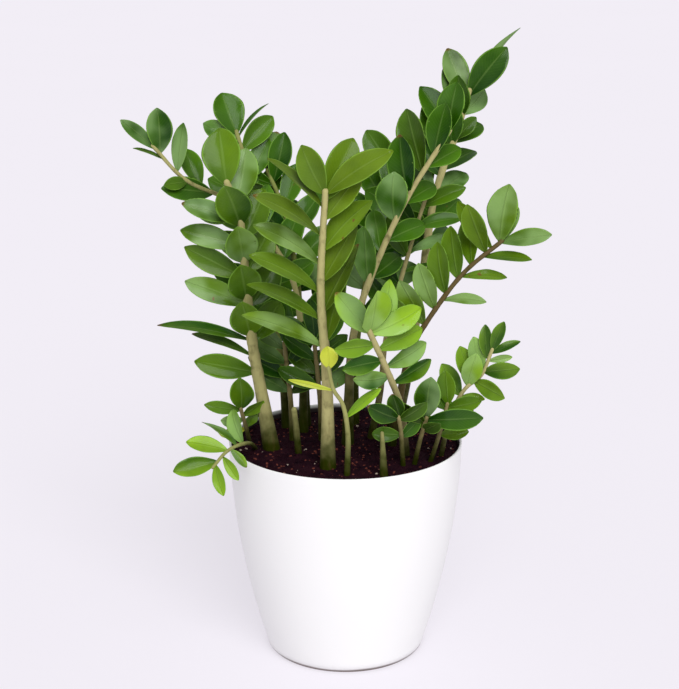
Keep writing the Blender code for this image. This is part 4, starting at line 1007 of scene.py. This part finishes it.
def frond_tree(leaf_material, stalk_material):
    """A stalk swept along the mesh's edges, and a leaflet blade grown on each of its loose points."""
    wires = new_tree(leaf_material.name, sides=20, blade_sides=16, blade_lengths=16,
                     thickness=FINE_THICKNESS, cup=FINE_CUP, groove=0.0006, ripple=0.40)
    start = wires["start"]

    def named(name, kind="FLOAT"):
        return start.node("GeometryNodeInputNamedAttribute", {"data_type": kind}, {"Name": name})

    ring = start.node("GeometryNodeCurvePrimitiveCircle", {}, {"Resolution": wires["sides"], "Radius": 1.0})
    course = start.node("GeometryNodeMeshToCurve", {}, {0: wires["geometry"]})
    stalk = start.node("GeometryNodeCurveToMesh", {}, {"Curve": course, "Profile Curve": ring,
                                                       "Scale": named("thick"), "Fill Caps": True})
    stalk = start.node("GeometryNodeSetMaterial", {}, {"Geometry": stalk, "Material": stalk_material})

    tube = start.node("GeometryNodeMeshCylinder", {"fill_type": "TRIANGLE_FAN"},
                      {"Vertices": wires["blade_sides"], "Side Segments": wires["blade_lengths"],
                       "Radius": 1.0, "Depth": 1.0})
    local = start.node("GeometryNodeInputPosition") + (0.0, 0.0, 0.5)
    tube = start.node("GeometryNodeStoreNamedAttribute", {"data_type": "FLOAT_VECTOR"},
                      {"Geometry": tube, "Name": "blade", "Value": local})
    spots = start.node("GeometryNodeMeshToPoints", {}, {0: wires["geometry"], "Selection": named("length")})
    blades = start.node("GeometryNodeInstanceOnPoints", {}, {"Points": spots, "Instance": tube})
    blades = start.node("GeometryNodeRealizeInstances", {}, {0: blades})

    blade = named("blade", "FLOAT_VECTOR")
    along, facing = named("along", "FLOAT_VECTOR"), named("facing", "FLOAT_VECTOR")
    share, side, run = blade.part(0), blade.part(1), blade.part(2)
    length, bend, turn = (named(name) * run for name in ("length", "droop", "twist"))
    level = start.sum("CROSS_PRODUCT", along, facing)
    upright = start.sum("NORMALIZE", facing + along * bend)
    spine = along * (length * (1 - bend * bend / 6)) - facing * (length * bend / 2)
    spine = spine + level * (length * run * named("sweep"))
    cosine, sine = start.sum("COSINE", turn), start.sum("SINE", turn)
    across = level * cosine + upright * sine
    normal = upright * cosine - level * sine
    outline = run.sum("SINE", (run ** WIDEST * 0.994 + 0.003) * math.pi) ** FINE_FULLNESS
    half = named("width") * 0.5 * outline * (1 - run.rise(0.90, 1.0) * 0.35) + 0.0005
    rim = abs(share)
    seat = start.node("ShaderNodeCombineXYZ", {},
                      {"X": share * 2.2, "Y": named("tone") * 60, "Z": run * 2.2})
    sway = start.node("ShaderNodeTexNoise", {}, {"Vector": seat, "Scale": 1.3, "Detail": 1.0}) - 0.5
    lie = half * (rim ** 1.5 * wires["cup"] + sway * rim * wires["ripple"])
    body = wires["thickness"] * (1 - rim * 0.55) * (1 - run * 0.5)
    groove = (1 - rim.rise(0.0, 0.5)) * side.rise(0.5, 1.0) * (1 - run * 0.6) * wires["groove"]
    place = spine + across * (half * share) + normal * (lie + side * body / 2 - groove)
    base = named("base", "FLOAT_VECTOR")
    blades = start.node("GeometryNodeSetPosition", {}, {"Geometry": blades, "Position": base + place})
    blades = start.node("GeometryNodeSetMaterial", {}, {"Geometry": blades, "Material": leaf_material})
    both = start.node("GeometryNodeJoinGeometry", {}, {0: stalk})
    both.tree.links.new(blades.socket, both.socket.node.inputs[0])
    smooth = start.node("GeometryNodeSetShadeSmooth", {}, {0: both})
    return close_tree(smooth, [])


def stalk_course(stalk, leaflets):
    """(centre, radius, height along the stalk) from the buried foot up, thicker at the leaflets."""
    foot = stalk.points[0] - stalk.tangent(0) * ROOT_DEPTH
    course = [(foot, stalk.foot_radius, -ROOT_DEPTH)]
    steps = max(8, round(stalk.length / STALK_RINGS))
    joints = [(leaf.base - stalk.points[0]).length for leaf in leaflets]
    for k in range(steps + 1):
        share = k / steps
        centre = stalk.smooth_at(share)
        reach = (centre - stalk.points[0]).length
        swell = sum(math.exp(-((reach - joint) / JOINT_REACH) ** 2) for joint in joints)
        radius = stalk.radius(share) * (1 + STALK_JOINT * min(swell, 1))
        course.append((centre, radius, share * stalk.length))
    tip, radius, height = course[-1]
    for angle in map(math.radians, (30, 60, 85)):  # round off the tip
        course.append((tip + stalk.tangent(1) * radius * math.sin(angle), radius * math.cos(angle), height))
    return course


def frond_seed(frond, stalk, leaflets):
    """A mesh of the stalk's course and a loose point for each leaflet, with what the tree grows from."""
    name = frond.name
    course = stalk_course(stalk, leaflets)
    chance = random.Random(name)
    points = [centre for centre, _, _ in course] + [leaf.base for leaf in leaflets]
    mesh = bpy.data.meshes.new(name)
    mesh.from_pydata(points, [(k, k + 1) for k in range(len(course) - 1)], [])
    bare, none = [0.0] * len(course), [0.0] * len(leaflets)
    highest = max(point[2] for point in points)
    depths = [(highest - point[2]) / (highest - SOIL_EDGE) for point in points]
    foot_scale = GREEN_FOOT / GREEN_FEET_IN_SHADE.get(name, GREEN_FOOT)
    lightness, fall = LEAF_LIGHT.get(name, 0.0), LEAF_FALL.get(name, 0.0)
    numbers = {
        "thick": [radius for _, radius, _ in course] + none,
        "climb": [height * foot_scale for _, _, height in course] + none,
        "hue": [STALK_HUES.get(name, STALK_HUE)] * len(points),
        "length": bare + [leaf.length for leaf in leaflets],
        "width": bare + [leaf.width for leaf in leaflets],
        "droop": bare + [leaf.droop + chance.uniform(*DROOP_STRAY) for leaf in leaflets],
        "tone": bare + [chance.random() for _ in leaflets],
        "light": [lightness - fall * depth for depth in depths],
        # painted sheen: how much pale reflection is painted into each leaflet's colour
        "sheen": bare + [SHEEN if chance.random() < PALE_CHANCE or k in PALE.get(name, ()) else LEAST_SHEEN
                         for k in range(len(leaflets))],
        "twist": bare + [chance.uniform(-TWIST, TWIST) for _ in leaflets],
        "sweep": bare + [chance.uniform(-SWEEP, SWEEP) for _ in leaflets],
        "age": bare + [AGED.get((name, k), AGED.get(name, 0.0) + AGE_STRAY * chance.random() ** 3)
                       for k in range(len(leaflets))],
    }
    for key, values in numbers.items():
        mesh.attributes.new(key, "FLOAT", "POINT").data.foreach_set("value", values)
    for key in ("base", "along", "facing"):
        values = [(0, 0, 0)] * len(course) + [getattr(leaf, key) for leaf in leaflets]
        flat = [number for vector in values for number in vector]
        mesh.attributes.new(key, "FLOAT_VECTOR", "POINT").data.foreach_set("vector", flat)
    return mesh


def cad_tree(node):
    """A search tree of a CAD node."""
    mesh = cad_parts[node].data
    return BVHTree.FromPolygons([v.co for v in mesh.vertices], [p.vertices for p in mesh.polygons])


stalk_material = stalk_skin()
trees = {name: frond_tree(leaf_skin(name, *greens), stalk_material)
         for name, greens in LEAF_FINISHES.items()}
stalks = [Stalk(frond) for frond in FRONDS]
stalk_trees = [plain_tree(add_tube, stalk.rings()) for stalk in stalks]
grown_before = [cad_tree("pot"), cad_tree("soil")]
for number, (frond, stalk) in enumerate(zip(FRONDS, stalks)):
    other_stalks = stalk_trees[:number] + stalk_trees[number + 1:]
    leaflets, blade_trees = place_leaflets(frond, stalk, grown_before + other_stalks, seed=number)
    grown_before += blade_trees
    piece = new_object(frond.name.replace("frond", "grown"), frond_seed(frond, stalk, leaflets))
    grown(piece, trees[frond.leaf])
    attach(piece, "root")
    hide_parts(frond.name)
